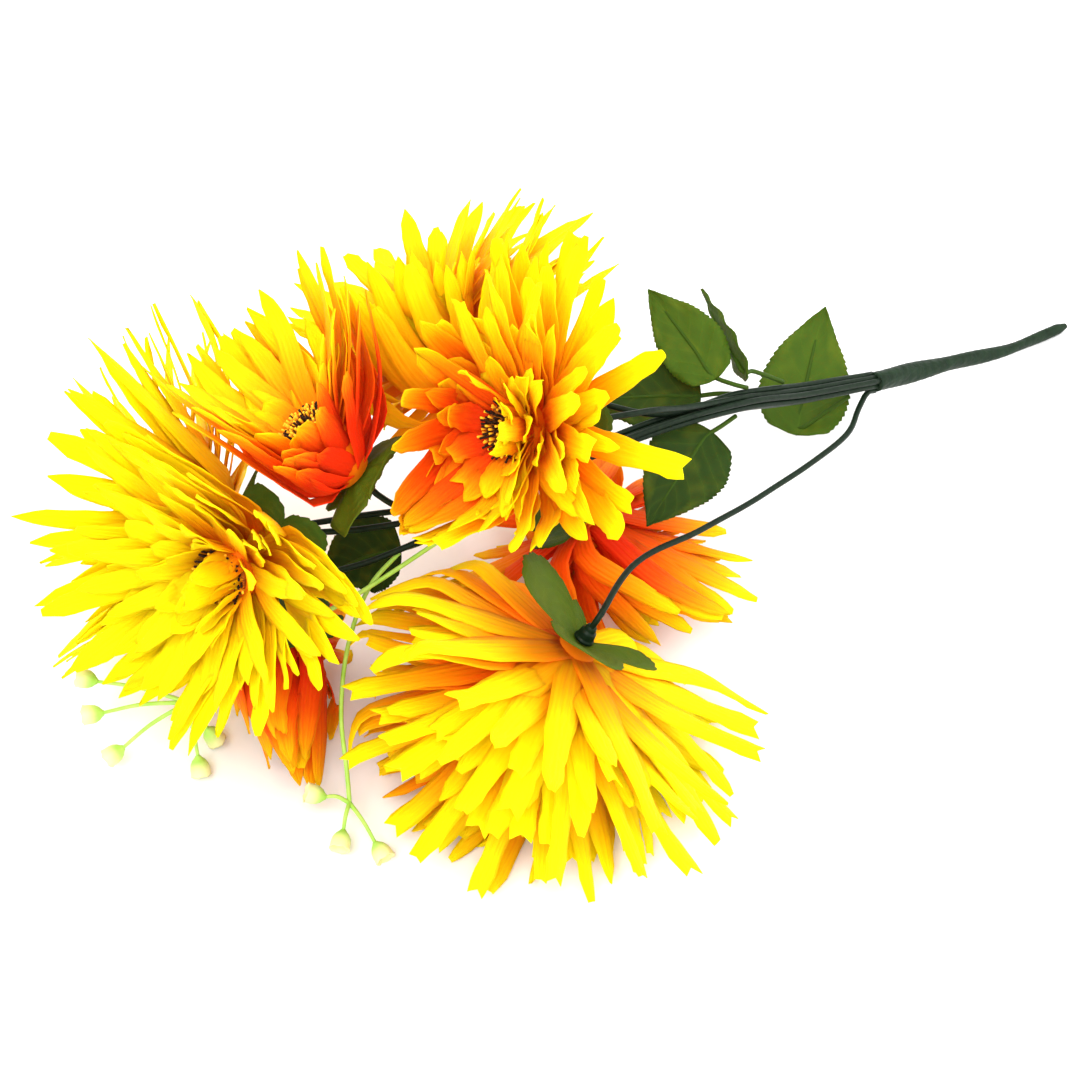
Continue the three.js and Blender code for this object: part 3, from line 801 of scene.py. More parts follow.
@dataclass
class Arrangement:
    """All heads, the walls between them and the bundle of wires."""

    heads: list[Head]
    shifts: dict[tuple[int, int], tuple[float, Vector]]
    bundle: list[Vector]
    bundle_room: float = 8.0

    def shift(self, first: int, second: int) -> tuple[float, Vector]:
        """Finds how the wall between two heads is moved from half way.

        Args:
            first: The number of the one head, from 0.
            second: The number of the other.

        Returns:
            How far it is moved to the second head, and how it leans.
        """
        there, back = self.shifts.get((first, second)), self.shifts.get((second, first))
        if there:
            return there
        return (-back[0], -back[1]) if back else (0.0, Vector())

    def room(self, index: int) -> Room:
        """Makes a head's room, from the table, the other heads, the bundle and its own fences.

        Args:
            index: The number of the head, from 0.

        Returns:
            The room.
        """
        head = self.heads[index]
        walls = [Wall(vec(0, 0, -1), 0.0)]
        for other_index, other in enumerate(self.heads):
            if other_index != index:
                shift, lean = self.shift(index, other_index)
                normal = ((other.middle - head.middle).normalized() + lean).normalized()
                walls.append(Wall(normal, normal.dot(head.middle + other.middle) / 2 + shift))
        places = Line(self.bundle).points
        nearest = min(places, key=lambda place: (place - head.middle).length)
        normal = (nearest - head.middle).normalized()
        walls.append(Wall(normal, normal.dot(nearest) - self.bundle_room))
        return Room(walls + list(head.fences))

    def across(self, index: int) -> tuple[Vector, Vector, Vector]:
        """Finds the bundle's own directions.

        Args:
            index: The number of one of its places.

        Returns:
            Along it, aside and above.
        """
        ahead = self.bundle[min(index + 1, len(self.bundle) - 1)]
        behind = self.bundle[max(index - 1, 0)]
        along = (ahead - behind).normalized()
        aside = along.cross(UP).normalized()
        return along, aside, aside.cross(along)


# ---- petals ----------------------------------------------------------------------------------


@dataclass(frozen=True)
class Ring:
    """One fabric star of petals. Angles in degrees, open is measured from the face direction."""

    petals: int
    rise: float
    root: float
    reach: float
    open: float
    curl: float


@dataclass(frozen=True)
class Strip:
    """How one petal starts and bends."""

    root: Vector
    way: Vector
    across: Vector
    face: Vector
    length: float
    curl: float
    roll: float
    # how much warmer this petal is made: painted shade on its head's shaded side, or on head 3 the
    # outside's own red
    side_tint_and_shade: float = 0.0
    steps: int = 12
    soft_reach: float = 16.0
    forward_lean: float = 0.55

    def walk(self, room: Room, gaps: Sequence[float]) -> list[Vector]:
        """Walks along the petal's rib, bending it along walls that it comes near.

        Args:
            room: The head's room.
            gaps: What the petal keeps from each wall.

        Returns:
            The rib's places.
        """
        point, way = self.root.copy(), self.way.copy()
        turn = Quaternion(self.across, self.curl / self.steps)
        rib = [point]
        for _ in range(self.steps):
            way = turn @ way
            for wall, gap in zip(room.walls, gaps):
                space = wall.reach - gap - wall.normal.dot(point)
                push = way.dot(wall.normal)
                if push > 0 and space < self.soft_reach:
                    bend = push * (1 - max(space, 0.0) / self.soft_reach)
                    way = way - wall.normal * bend + self.face * (bend * self.forward_lean)
            way.normalize()
            point = room.keep(point + way * (self.length / self.steps), gaps)
            rib.append(point)
        return rib


@dataclass
class PetalHead:
    """The petals of one head, in layered rings round a moulded core."""

    number: int
    head: Head
    room: Room
    width: float = 8.8
    length: float = 62.0
    least_reach: float = 0.5
    least_open: float = 8.0
    least_width: float = 0.5
    least_kept: float = 0.7
    next_tilt: float = 8.0
    next_rise: float = 5.0
    stray_turn: float = 0.36
    stray_open: float = 13.0
    stray_curl: float = 34.0
    stray_roll: float = 60.0
    columns: int = 4
    rows: int = 13
    fold: float = 0.2
    wave_height: float = 0.55
    fray: float = 0.14
    slant: float = 0.16
    rings: tuple[Ring, ...] = (
        Ring(11, 0.0, 4.5, 1.0, 97.0, 6.0),
        Ring(11, 5.0, 5.5, 0.98, 82.0, 10.0),
        Ring(10, 10.0, 6.5, 0.9, 66.0, 14.0),
        Ring(7, 14.0, 7.0, 0.74, 48.0, 18.0),
        Ring(5, 17.0, 9.0, 0.3, 26.0, 24.0),
    )
    inner_rings: tuple[Ring, ...] = (
        Ring(12, 15.5, 7.6, 0.52, 66.0, 12.0),
        Ring(12, 17.5, 8.2, 0.38, 56.0, 16.0),
        Ring(10, 19.0, 8.6, 0.27, 46.0, 18.0),
    )
    outline: Pairs = ((0.0, 0.66), (0.15, 0.88), (0.35, 1.0), (0.6, 1.04), (0.78, 0.86))
    tested: tuple[float, ...] = (0.3, 0.45, 0.6, 0.72, 0.84)
    core: Pairs = (
        (0.0, -0.9), (6.3, -0.9), (8.4, 6.0), (9.8, 12.0), (10.2, 17.0), (10.2, 20.0), (0.0, 20.0),
    )

    def strips(self, ring: Ring, index: float, chance: Dice, shift: float = 0.0,
               wild: float = 1.0, inner: bool = False) -> Iterable[tuple[Strip, list[float]]]:
        """Draws the petals of a ring, or of a layer that lies between it and the next.

        Args:
            ring: The ring.
            index: The ring's number from the back.
            chance: The head's dice.
            shift: How far round the pitch and on to the next ring the petals stand.
            wild: How much more the petals stray.
            inner: Whether the petals may lean over the disc.

        Yields:
            Each petal's strip, with what it keeps from each wall.
        """
        head = self.head
        count = math.floor(ring.petals * head.fullness + 0.5)
        pitch = 2 * math.pi / count
        for i in range(count):
            turn = pitch * (i + shift + 0.5 * (index % 2) + chance.spread(self.stray_turn))
            out = head.outward(turn)
            tilt = head.opening - head.closing * index - max(0.0, out.dot(head.cup))
            opened = ring.open + tilt - self.next_tilt * shift + chance.spread(self.stray_open) * wild
            opened = math.radians(max(self.least_open, opened))
            if inner:
                opened -= math.radians(head.shut) * max(0.0, out.dot(head.cover))
            length = self.length * head.size * ring.reach * (0.9 + 0.2 * chance.roll())
            kept = 1 - max(0.0, out.dot(head.trim))
            length *= kept if kept > self.least_kept or not (shift or inner) else 0.0
            if shift:
                length *= 1 - 0.3 * chance.roll()
            curl = math.radians(ring.curl + head.curl + chance.spread(self.stray_curl) * wild)
            roll = math.radians(chance.spread(self.stray_roll)) * kept
            loose = self.room.ring_gap * 0.6 * chance.roll()
            strip = Strip(
                root=head.neck + head.face * (ring.rise + self.next_rise * shift) + out * ring.root,
                way=head.face * math.cos(opened) + out * math.sin(opened),
                across=head.face.cross(out), face=head.face, length=length, curl=curl, roll=roll,
                # painted shade on a head's shaded side (on head 3, the outside's own red)
                side_tint_and_shade=max(0.0, out.dot(head.side_tint_and_shade)),
            )
            yield strip, self.room.gaps(head.face, index + shift, len(self.rings), loose)

    def petal(self, piece: Piece, strip: Strip, gaps: Sequence[float], chance: Dice, depth: float,
              slim: float = 1.0) -> None:
        """Lays one petal of fabric, if there is room for it and no wall squeezes it to a strip.

        Args:
            piece: The piece that takes the petal.
            strip: How the petal starts and bends.
            gaps: What it keeps from each wall.
            chance: Dice for its cut and creases.
            depth: How far inside the head it stands, from 0 to 1.
            slim: Its width as a share of the usual.
        """
        if not strip.length:
            return
        rib = strip.walk(self.room, gaps)
        if slim < 1 and (rib[-1] - rib[-2]).normalized().dot(strip.way) < self.head.crowd:
            return
        if (rib[-1] - strip.root).length <= self.least_reach * strip.length:
            return
        line = Line(rib)
        tip = self.head.tips[int(chance.roll() * len(self.head.tips) * 0.999)]
        slant = chance.spread(self.slant)
        phase = chance.roll() * 2 * math.pi
        fray = [1 + self.fray * chance.spread(1.0) for _ in range(2 * self.rows + 2)]
        folded = self.fold * (0.5 + chance.roll())
        waved = self.wave_height * (0.3 + self.head.ruffle * chance.roll())
        wide = self.width * slim * (0.86 + 0.24 * chance.roll()) / 2
        outline = self.outline + ((0.9, tip.value[0]), (1.0, tip.value[1]))
        frames = {}

        def place(across: float, along: float) -> Vector:
            """Finds a place on the petal.

            Args:
                across: The share of its width.
                along: The share of its length.

            Returns:
                The place.
            """
            side_share = 2 * across - 1
            share = along + 0.1 * math.sin(math.pi * along)
            if along not in frames:
                way = line.heading(share)
                side = (strip.across - way * strip.across.dot(way)).normalized()
                side = Quaternion(way, strip.roll * share * 0.6) @ side
                frames[along] = (line.at(share), way, side, side.cross(way))
            middle, way, side, back = frames[along]
            sheet = self.head.sheet * max(0.0, 1 - share / 0.6) ** 0.5
            half = wide * through(outline, share) * (1 + sheet)
            if abs(side_share) > 0.9:
                half *= fray[round(along * self.rows) + (self.rows + 1 if side_share > 0 else 0)]
            height = half * folded * abs(side_share) ** 1.4 * min(1.0, 0.3 + share)
            height += waved * side_share ** 2 * math.sin(phase + 15 * share + 2 * side_share) * share
            notch = tip.value[2] * (1 - abs(side_share))
            trimmed = middle + way * ((slant * side_share - notch) * wide * share ** 6)
            return self.room.keep(trimmed + side * (side_share * half) - back * height, gaps)

        # the head's warmth is the dye's own tone, and painted shade on heads 7 and 8; the inner petals are
        # made redder and the petals on a head's shaded side warmer as painted shade; the rest is a random
        # spread
        warmth = self.head.warmth + self.head.back_warmth * (1 - depth) + self.head.inner_shade * depth
        warmth += 0.5 * max(0.0, chance.roll() - 0.6) + strip.side_tint_and_shade
        tone = vec(chance.roll(), warmth, depth)
        widths = [(place(1.0, share) - place(0.0, share)).length for share in self.tested]
        if min(widths) > self.least_width * 2 * wide:
            piece.patch(self.columns, self.rows, place, tone, turned_over=True)

    def build(self, material: Finish) -> Object:
        """Builds and dresses the petals.

        Args:
            material: The petal fabric.

        Returns:
            The finished object.
        """
        piece = Piece(f"head_{self.number}_petals", Slot.PETAL, (f"bloom_{self.number}_petals",))
        chance, cut, extra = (self.head.dice(throw) for throw in (Throw.RINGS, Throw.CUT, Throw.EXTRA))
        last = len(self.rings) - 1
        for index, ring in enumerate(self.rings):
            if self.head.reaches:
                ring = replace(ring, reach=self.head.reaches[index])
            for strip, gaps in self.strips(ring, index, chance):
                self.petal(piece, strip, gaps, cut, index / last)
            layers = self.head.layers if ring.reach and index < last else 0
            for shift in [(layer + 1) / (layers + 1) for layer in range(layers)]:
                for strip, gaps in self.strips(ring, index, extra, shift, self.head.wild):
                    self.petal(piece, strip, gaps, cut, (index + shift) / last, self.head.slim)
        for index, ring in enumerate(self.inner_rings):
            ring = replace(ring, open=ring.open - self.head.shut / 2)
            for strip, gaps in self.strips(ring, last - 1 + index / 2, extra, inner=True):
                self.petal(piece, strip, gaps, cut, 0.9)
        piece.lathe(self.core, 20, self.head.neck, self.head.face, vec(0.2, 0.1, 1))
        return piece.finish(material, PETAL_CLOTH)


@dataclass
class Disc:
    """The dark middle of a head: a dome crowded with stamens."""

    number: int
    head: Head
    rise: float = 20.35
    radius: float = 8.6
    height: float = 2.4
    rim: float = 0.6
    stamens: int = 120
    stamen_length: float = 4.2
    stamen_radii: tuple[float, float] = (0.34, 0.42)
    stamen_lean: float = 0.75
    stamen_stray: float = 0.5
    brown: float = 0.1
    yellow: float = 0.95

    def build(self, material: Finish) -> Object:
        """Builds and dresses the disc.

        Args:
            material: The stamen fibre.

        Returns:
            The finished object.
        """
        head = self.head
        piece = Piece(f"head_{self.number}_disc", Slot.STAMEN, (f"bloom_{self.number}_disc",))
        foot = head.neck + head.face * self.rise
        turns = [k * math.pi / 10 for k in range(5)]
        dome = [(self.radius * math.cos(turn), self.rim + self.height * math.sin(turn)) for turn in turns]
        profile = [(0.0, 0.0), (self.radius, 0.0), *dome, (0.0, self.rim + self.height)]
        piece.lathe(profile, 24, foot, head.face, vec(0.45, 0, 0))
        chance = head.dice(Throw.STAMENS)
        for i in range(self.stamens):
            share = math.sqrt((i + 0.5) / self.stamens)
            out = head.outward(i * GOLDEN_TURN)
            aside = self.stamen_lean * share + chance.spread(self.stamen_stray)
            lean = (head.face + out * aside).normalized()
            start = foot + out * (share * (self.radius - self.rim))
            start += head.face * (0.5 + self.height * (1 - share ** 2))
            length = self.stamen_length * (0.55 + 0.45 * chance.roll())
            turn = UP.rotation_difference(lean).to_matrix().to_4x4()
            shape = Matrix.Translation(start + lean * (length / 2)) @ turn
            made = bmesh.ops.create_cone(
                piece.mesh, cap_ends=True, segments=5, radius1=self.stamen_radii[0],
                radius2=self.stamen_radii[1], depth=length, matrix=shape,
            )["verts"]
            ripe = self.brown if chance.roll() < 1 - head.ripe else self.yellow
            for vert in made:
                top = (vert.co - start).dot(lean) > length / 2
                vert[piece.tone] = vec(ripe if top else 0.05, 0, 0)
        return piece.finish(material)


@dataclass
class Calyx:
    """The green lobed sheet behind the petals."""

    number: int
    head: Head
    room: Room
    lobes: int = 4
    notch: float = 12.5
    lobe: float = 22.0
    tooth: float = 0.8
    teeth: int = 12
    rise: float = -1.6
    past: float = 0.9
    crease: float = 0.5
    columns: int = 144
    rows: int = 6

    def radius(self, turn: float) -> float:
        """Finds how far the sheet reaches, with its lobes and teeth.

        Args:
            turn: The share of the full turn.

        Returns:
            The reach.
        """
        share = (turn * self.lobes) % 1.0
        reach = self.notch + (self.lobe - self.notch) * math.sin(math.pi * share) ** 0.75
        return (reach - self.tooth * ((turn * self.lobes * self.teeth) % 1.0)) * self.head.calyx

    def build(self, material: Finish) -> Object:
        """Builds and dresses the calyx.

        Args:
            material: The leaf fabric.

        Returns:
            The finished object.
        """
        head = self.head
        piece = Piece(f"head_{self.number}_calyx", Slot.LEAF, (f"bloom_{self.number}_calyx",))
        hub = head.neck + head.face * self.rise
        gaps = [-self.past if wall.own else self.room.wall_gap for wall in self.room.walls]
        droop = DROOP * head.calyx

        def place(across: float, along: float) -> Vector:
            """Finds a place on the sheet.

            Args:
                across: The share of the full turn.
                along: The share of the reach.

            Returns:
                The place.
            """
            out = head.outward(2 * math.pi * across)
            reach = self.radius(across % 1.0) * along * (1 - max(0.0, out.dot(head.calyx_trim)))
            crease = self.crease * along * math.cos(2 * math.pi * across * self.lobes * 2)
            back = reach * math.sin(droop) + crease
            sheet = hub + out * (reach * math.cos(droop)) - head.face * back
            return self.room.keep(sheet, gaps)

        # painted shade: the calyx is darkened for the shade behind its head
        piece.patch(self.columns, self.rows, place, vec(head.calyx_shade, 0, head.calyx_olive))
        bmesh.ops.remove_doubles(piece.mesh, verts=piece.mesh.verts[:], dist=1e-3)
        bmesh.ops.dissolve_degenerate(piece.mesh, edges=piece.mesh.edges[:], dist=1e-4)
        return piece.finish(material, PETAL_CLOTH)


# ---- stems -----------------------------------------------------------------------------------


@dataclass
class WireStem:
    """A head's wire with the moulded socket at its end."""

    number: int
    head: Head
    arrangement: Arrangement
    slot: tuple[int, int]
    shared: int
    way: Places
    radius: float = 1.1
    pitch: float = 2.6
    tied_pitch: float = 2.2
    lead: float = 4.0
    ends: tuple[float, float] = (15.0, 5.0)
    ring_step: float = 3.5
    ripple: float = 0.04
    collar: float = 3.4
    socket: Pairs = (
        (0.0, -9.6), (1.5, -9.6), (1.8, -9.2), (2.1, -8.0), (2.1, -7.6), (2.7, -7.3), (2.9, -6.6),
        (3.1, -5.2), (3.1, -4.6), (3.5, -4.4), (3.6, -3.6), (3.3, -3.4), (0.0, -3.4),
    )

    def line(self) -> Line:
        """Returns the wire's middle line, from the tape to the head."""
        places = []
        for i in range(self.shared):
            _, aside, above = self.arrangement.across(i)
            pitch = self.pitch if i else self.tied_pitch
            place = self.arrangement.bundle[i] + aside * (self.slot[0] * pitch)
            places.append(place + above * (self.slot[1] * pitch))
        places.insert(1, places[0] + self.arrangement.across(0)[0] * self.lead)
        straight = [self.head.neck - self.head.face * end for end in self.ends]
        return Line([*places, *self.way, *straight])

    def build(self, material: Finish) -> Object:
        """Builds and dresses the wire and its socket.

        Args:
            material: The wire's plastic.

        Returns:
            The finished object.
        """
        piece = Piece(f"wire_{self.number}", Slot.WIRE, (f"stem_{self.number}",))
        line = self.line()
        piece.tube(line, lambda share, turn: self.radius * (1 + self.ripple * math.sin(40 * share + turn)),
                   int(line.length / self.ring_step), 10, PLAIN)
        slack = self.collar * (math.tan(DROOP * self.head.calyx) - math.tan(DROOP))
        piece.lathe(self.socket, 20, self.head.neck - self.head.face * slack, self.head.face, PLAIN)
        return piece.finish(material)


@dataclass
class TapedStem:
    """The wires' shared end, wrapped in stretched tape."""

    places: Places
    arrangement: Arrangement
    radii: tuple[float, ...] = (1.9, 2.1, 2.2, 2.5, 2.9, 3.3, 3.7, 4.1)
    ridge: float = 0.09
    lap_height: float = 0.035
    twist: float = 17.6
    gap: float = 0.35
    rings: int = 150
    sides: int = 22

    def radius(self, share: float, turn: float) -> float:
        """Finds the stem's radius, with the tape's laps and the wires' ridges.

        Args:
            share: The share of its length.
            turn: The turn round it in radians.

        Returns:
            The radius.
        """
        steps = [(k / (len(self.radii) - 1), value) for k, value in enumerate(self.radii)]
        lap = (share * TAPE_LAPS + turn / (2 * math.pi)) % 1.0
        rounded = min(1.0, 12 * share + 0.55)
        ridges = self.ridge * math.sin(2 * turn + self.twist * share) + self.lap_height * lap
        return through(steps, share) * (1 + ridges) * rounded

    def build(self, material: Finish) -> Object:
        """Builds and dresses the taped stem.

        Args:
            material: The floral tape.

        Returns:
            The finished object.
        """
        piece = Piece("tape_wrap", Slot.TAPE, ("taped_stem",))
        along = self.arrangement.across(0)[0]
        line = Line([*self.places[:-1], self.places[-1] - along * self.gap])
        piece.tube(line, self.radius, self.rings, self.sides, PLAIN)
        return piece.finish(material)


# ---- leaves and sprigs -----------------------------------------------------------------------


@dataclass
class Leaf:
    """A serrated fabric leaf on its own twig."""

    number: int
    twig: Places
    rib: Places
    width: float
    look: Vector
    # painted shade: how far the leaf is darkened for the shade it lies in
    leaf_shade: float = 0.2
    olive: float = 0.0
    twig_radius: float = 0.85
    twig_depth: float = 0.6
    teeth: int = 22
    tooth_depth: float = 0.055
    columns: int = 10
    rows: int = 110
    sag: float = 1.2
    crease: float = 0.6

    def half_width(self, share: float) -> float:
        """Finds half the leaf's width, with its cut edge.

        Args:
            share: The share of its length.

        Returns:
            Half the width.
        """
        whole = math.sin(math.pi * (0.12 + 0.88 * share) ** 0.8)
        start = min(1.0, (share / 0.05) ** 0.5) if share < 0.05 else 1.0
        tooth = (share * self.teeth + 0.35) % 1.0
        return self.width / 2 * whole * start * (0.98 - self.tooth_depth * tooth)

    def build(self, material: Finish) -> Object:
        """Builds and dresses the leaf's blade.

        Args:
            material: The leaf fabric.

        Returns:
            The finished object.
        """
        piece = Piece(f"leaf_blade_{self.number}", Slot.LEAF, (f"leaf_{self.number}",))
        line = Line(self.rib)

        def place(across: float, along: float) -> Vector:
            """Finds a place on the leaf.

            Args:
                across: The share of its width.
                along: The share of its length.

            Returns:
                The place.
            """
            side_share = 2 * across - 1
            way = line.heading(along)
            side = way.cross(self.look).normalized()
            up = side.cross(way)
            half = self.half_width(along)
            height = self.sag * (abs(side_share) - 0.5) * math.sin(math.pi * along)
            wave = math.sin(LeafFabric.veins * math.pi * (along - 0.3 * side_share))
            height += self.crease * wave * abs(side_share) ** 1.5
            return line.at(along) + side * (side_share * half) + up * height

        tone = vec(self.leaf_shade, 0, self.olive)
        piece.patch(self.columns, self.rows, place, tone, turned_over=True)
        return piece.finish(material, LEAF_CLOTH)

    def build_twig(self, material: Finish) -> Object:
        """Builds and dresses the twig, which runs on under the blade.

        Args:
            material: The leaf fabric.

        Returns:
            The finished object.
        """
        piece = Piece(f"leaf_twig_{self.number}", Slot.LEAF)
        blade = Line(self.rib)
        under = self.look * -self.twig_depth
        line = Line([*self.twig, *(blade.at(share) + under for share in (0.05, 0.3, 0.75))])
        piece.tube(line, lambda share, turn: self.twig_radius - 0.5 * max(share - 0.4, 0.0),
                   int(line.length / 2.5), 8, vec(0.55, 0, 0))
        return piece.finish(material)


@dataclass
class Sprig:
    """A pale plastic sprig with cup shaped buds."""

    number: int
    stalk: Places
    buds: Places
    radius: float = 0.8
    cup: Pairs = (
        (0.0, -0.6), (0.9, -0.4), (1.3, 0.2), (2.3, 1.2), (3.1, 2.6), (3.4, 4.2), (3.3, 5.6), (3.5, 6.2),
        (3.1, 6.1), (2.8, 5.2), (2.2, 4.4), (1.2, 4.3), (0.8, 5.4), (0.0, 5.7),
    )
    rim_height: float = 4.5
    rim_radius: float = 2.5
    petal_height: float = 0.7

    def build(self, material: Finish) -> Object:
        """Builds and dresses the sprig.

        Args:
            material: The sprig's plastic.

        Returns:
            The finished object.
        """
        piece = Piece(f"filler_sprig_{self.number}", Slot.SPRIG, (f"sprig_{self.number}",))
        main = Line(self.stalk)
        piece.tube(main, lambda share, turn: self.radius, int(main.length / 3), 8, PLAIN)
        fork = self.stalk[-1]
        for bud in self.buds:
            way = (bud - fork).normalized()
            branch = Line([fork, fork.lerp(bud, 0.55) + UP * 2, bud])
            piece.tube(branch, lambda share, turn: self.radius * (1 - 0.25 * share), 10, 8, PLAIN)
            for vert in piece.lathe(self.cup, 18, bud, way, PLAIN):
                height = (vert.co - bud).dot(way)
                out = vert.co - bud - way * height
                turn = math.atan2(out.dot(way.orthogonal()), out.dot(way.cross(way.orthogonal())))
                if height > self.rim_height and out.length > self.rim_radius:
                    vert.co += way * (self.petal_height * abs(math.sin(3 * turn))) + out * 0.04
                vert[piece.tone] = vec(0, 0, min(max((height - 1.0) / 5.0, 0.0), 0.85))
        return piece.finish(material)


# ---- the bouquet -----------------------------------------------------------------------------


@dataclass
class Bouquet:
    """The whole bouquet, as it is laid out."""

    # painted shade: on heads 1, 5 and 6 the side direction makes the petals on the shaded side warmer, and
    # head 6's inner warmth makes its inner petals redder for the shade under its upper layers
    heads: tuple[Head, ...] = (
        Head(vec(11, 17, 104), vec(-0.80, -0.25, 0.55), 1.0, 11, reaches=OPEN, warmth=0.4,
             side_tint_and_shade=vec(-1.1, 0.45, 0), ruffle=1.6, tips=MIXED, shut=12.0, crowd=0.75,
             cover=vec(0.89, -0.45, 0), cup=vec(36, -18, 0)),
        Head(vec(2, 64, 92), vec(-0.40, 0.42, 0.80), 1.0, 23),
        Head(vec(-54, 28, 104), vec(-0.52, 0.44, 0.73), 1.08, 37, reaches=OPEN, warmth=0.2,
             back_warmth=0.9, side_tint_and_shade=vec(-0.05, -0.7, 0.4), shut=10.0, crowd=0.82, ripe=0.7,
             trim=vec(-0.04, -0.5, 0.28), calyx_olive=0.9,
             fences=(Wall.fence(vec(-46, 17, 100), vec(0.32, -0.95, -0.05)),)),
        Head(vec(-88, 63, 62), vec(-0.84, 0.46, 0.28), 1.2, 41, fullness=0.9, warmth=0.0, crowd=0.7),
        Head(vec(-88, 26, 84), vec(-0.80, -0.47, 0.39), 1.0, 53, reaches=OPEN, warmth=-0.25,
             side_tint_and_shade=vec(0.2, 0.08, 0.2), ruffle=1.2, shut=60.0, crowd=0.75, ripe=0.2,
             cover=vec(0.89, -0.45, 0)),
        Head(vec(-3, -33, 51), vec(-0.55, 0.0, -0.84), 1.18, 67, reaches=(1, 1, 1, 1, 0), warmth=-0.1,
             inner_shade=1.0, side_tint_and_shade=vec(-0.15, 0.45, 0.25), ruffle=0.8, tips=MIXED, crowd=0.3,
             fullness=1.2, curl=-8.0, opening=-10.0, closing=6.0, sheet=0.45, layers=4, slim=0.99,
             calyx=1.65, calyx_trim=vec(0.77, 0.28, -0.5), calyx_shade=0.0, calyx_olive=0.6),
        # painted shade: heads 7 and 8 lie face down in the shade under the others, and their high warmth
        # paints that shade as deep orange and red
        Head(vec(27, 23, 42), vec(0.42, -0.41, -0.81), 0.95, 79, fullness=0.7, warmth=0.95,
             fences=(Wall.fence(vec(60, 20, 38), vec(0.45, 0, 0.9)),)),
        Head(vec(-83, 23, 40), vec(-0.24, -0.32, -0.90), 0.72, 97, reaches=(1, 0.98, 0.9, 0, 0),
             fullness=0.6, warmth=1.15,
             fences=(Wall.fence(vec(-95, 18, 52), UP), Wall.fence(vec(-112, 20, 40), vec(-1, 0, 0)))),
    )
    bundle: Places = (
        vec(162, 42, 30), vec(125, 36, 46), vec(95, 30, 62), vec(60, 25, 73), vec(20, 24, 74),
        vec(-25, 26, 68),
    )
    tape: Places = (
        vec(264, 55, 2.2), vec(248, 53, 4), vec(231, 50, 8), vec(198, 47, 18), vec(162, 42, 30),
    )

    def arrangement(self) -> Arrangement:
        """Returns the heads with the walls between them, some moved from half way."""
        shifts = {(5, 0): 9, (5, 7): 26, (2, 3): 8, (4, 2): 3, (5, 3): 20, (5, 2): 26, (0, 4): 9, (5, 6): 4}
        shifts = {pair: (shift, Vector()) for pair, shift in shifts.items()}
        shifts |= {(5, 4): (26, vec(0.1, -0.1, 0.5)), (0, 2): (7, vec(0.32, 0.48, -0.26))}
        return Arrangement(list(self.heads), shifts, list(self.bundle))

    def wires(self, arrangement: Arrangement) -> list[WireStem]:
        """Lists the heads' wires: the place in the bundle, how far each follows it, its own way.

        Args:
            arrangement: The heads and the bundle.

        Returns:
            The wires, in the order of the heads.
        """
        plan = (
            ((0, 1), 3, (vec(70, 24, 78), vec(48, 17, 93))),
            ((1, 1), 4, (vec(36, 46, 78),)),
            ((-1, 1), 5, (vec(-12, 22, 75), vec(-34, 18, 82))),
            ((1, 0), 5, (vec(-20, 29, 70), vec(-45, 43, 62))),
            ((0, 0), 5, (vec(-22, 25, 70), vec(-50, 31, 70))),
            ((-1, -1), 1, (vec(150, 33, 30), vec(138, 22, 33), vec(93, 3, 44), vec(58, -9, 54),
                           vec(27, -17, 61))),
            ((0, -1), 3, (vec(62, 27, 68), vec(38, 31, 66))),
            ((-1, 0), 5, (vec(-22, 22, 66), vec(-50, 25, 60), vec(-70, 28, 58))),
        )
        return [WireStem(i + 1, head, arrangement, *place)
                for i, (head, place) in enumerate(zip(self.heads, plan))]

    def leaves(self) -> list[Leaf]:
        """Returns the leaves, from the front of the bouquet to the back."""
        # the last number of each leaf is its painted shade: leaves 2, 5 and 6, which lie in the shade, are
        # made dark
        return [
            Leaf(1, (vec(99.4, 33.1, 65.1), vec(93, 34, 69.5)),
                 (vec(88, 37, 71), vec(86, 55, 77), vec(82, 76, 84)), 25, vec(-0.29, -0.57, 0.77), 0.1),
            Leaf(2, (vec(96.2, 35, 61.7), vec(90, 37.5, 62.5)),
                 (vec(84, 39, 63), vec(68, 48, 62), vec(48, 58, 60)), 31, vec(-0.1, -0.3, 0.95), 0.75),
            Leaf(3, (vec(118, 38.1, 54.6), vec(110, 38, 62), vec(104, 38, 67)),
                 (vec(99, 33, 71), vec(100, 48, 73), vec(102, 72, 79)), 18, vec(0.89, -0.45, 0), 0.3),
            Leaf(4, (vec(150.3, 40.1, 30.1), vec(140, 40, 26)),
                 (vec(127, 38, 22), vec(138, 52, 25), vec(150, 66, 31), vec(162, 78, 38)), 36,
                 vec(-0.25, -0.4, 0.88), 0.15),
            Leaf(5, (vec(92.2, 28, 58.8), vec(84, 25, 60)),
                 (vec(80, 25, 60), vec(63, 15, 57), vec(43, 3, 51)), 32, vec(-0.1, -0.5, 0.86), 0.85),
            Leaf(6, (vec(-30.4, 23.1, 62), vec(-35, 27, 57)),
                 (vec(-38, 30, 54), vec(-50, 35, 51), vec(-66, 36, 47)), 30, vec(-0.1, -0.3, 0.95), 0.9),
        ]

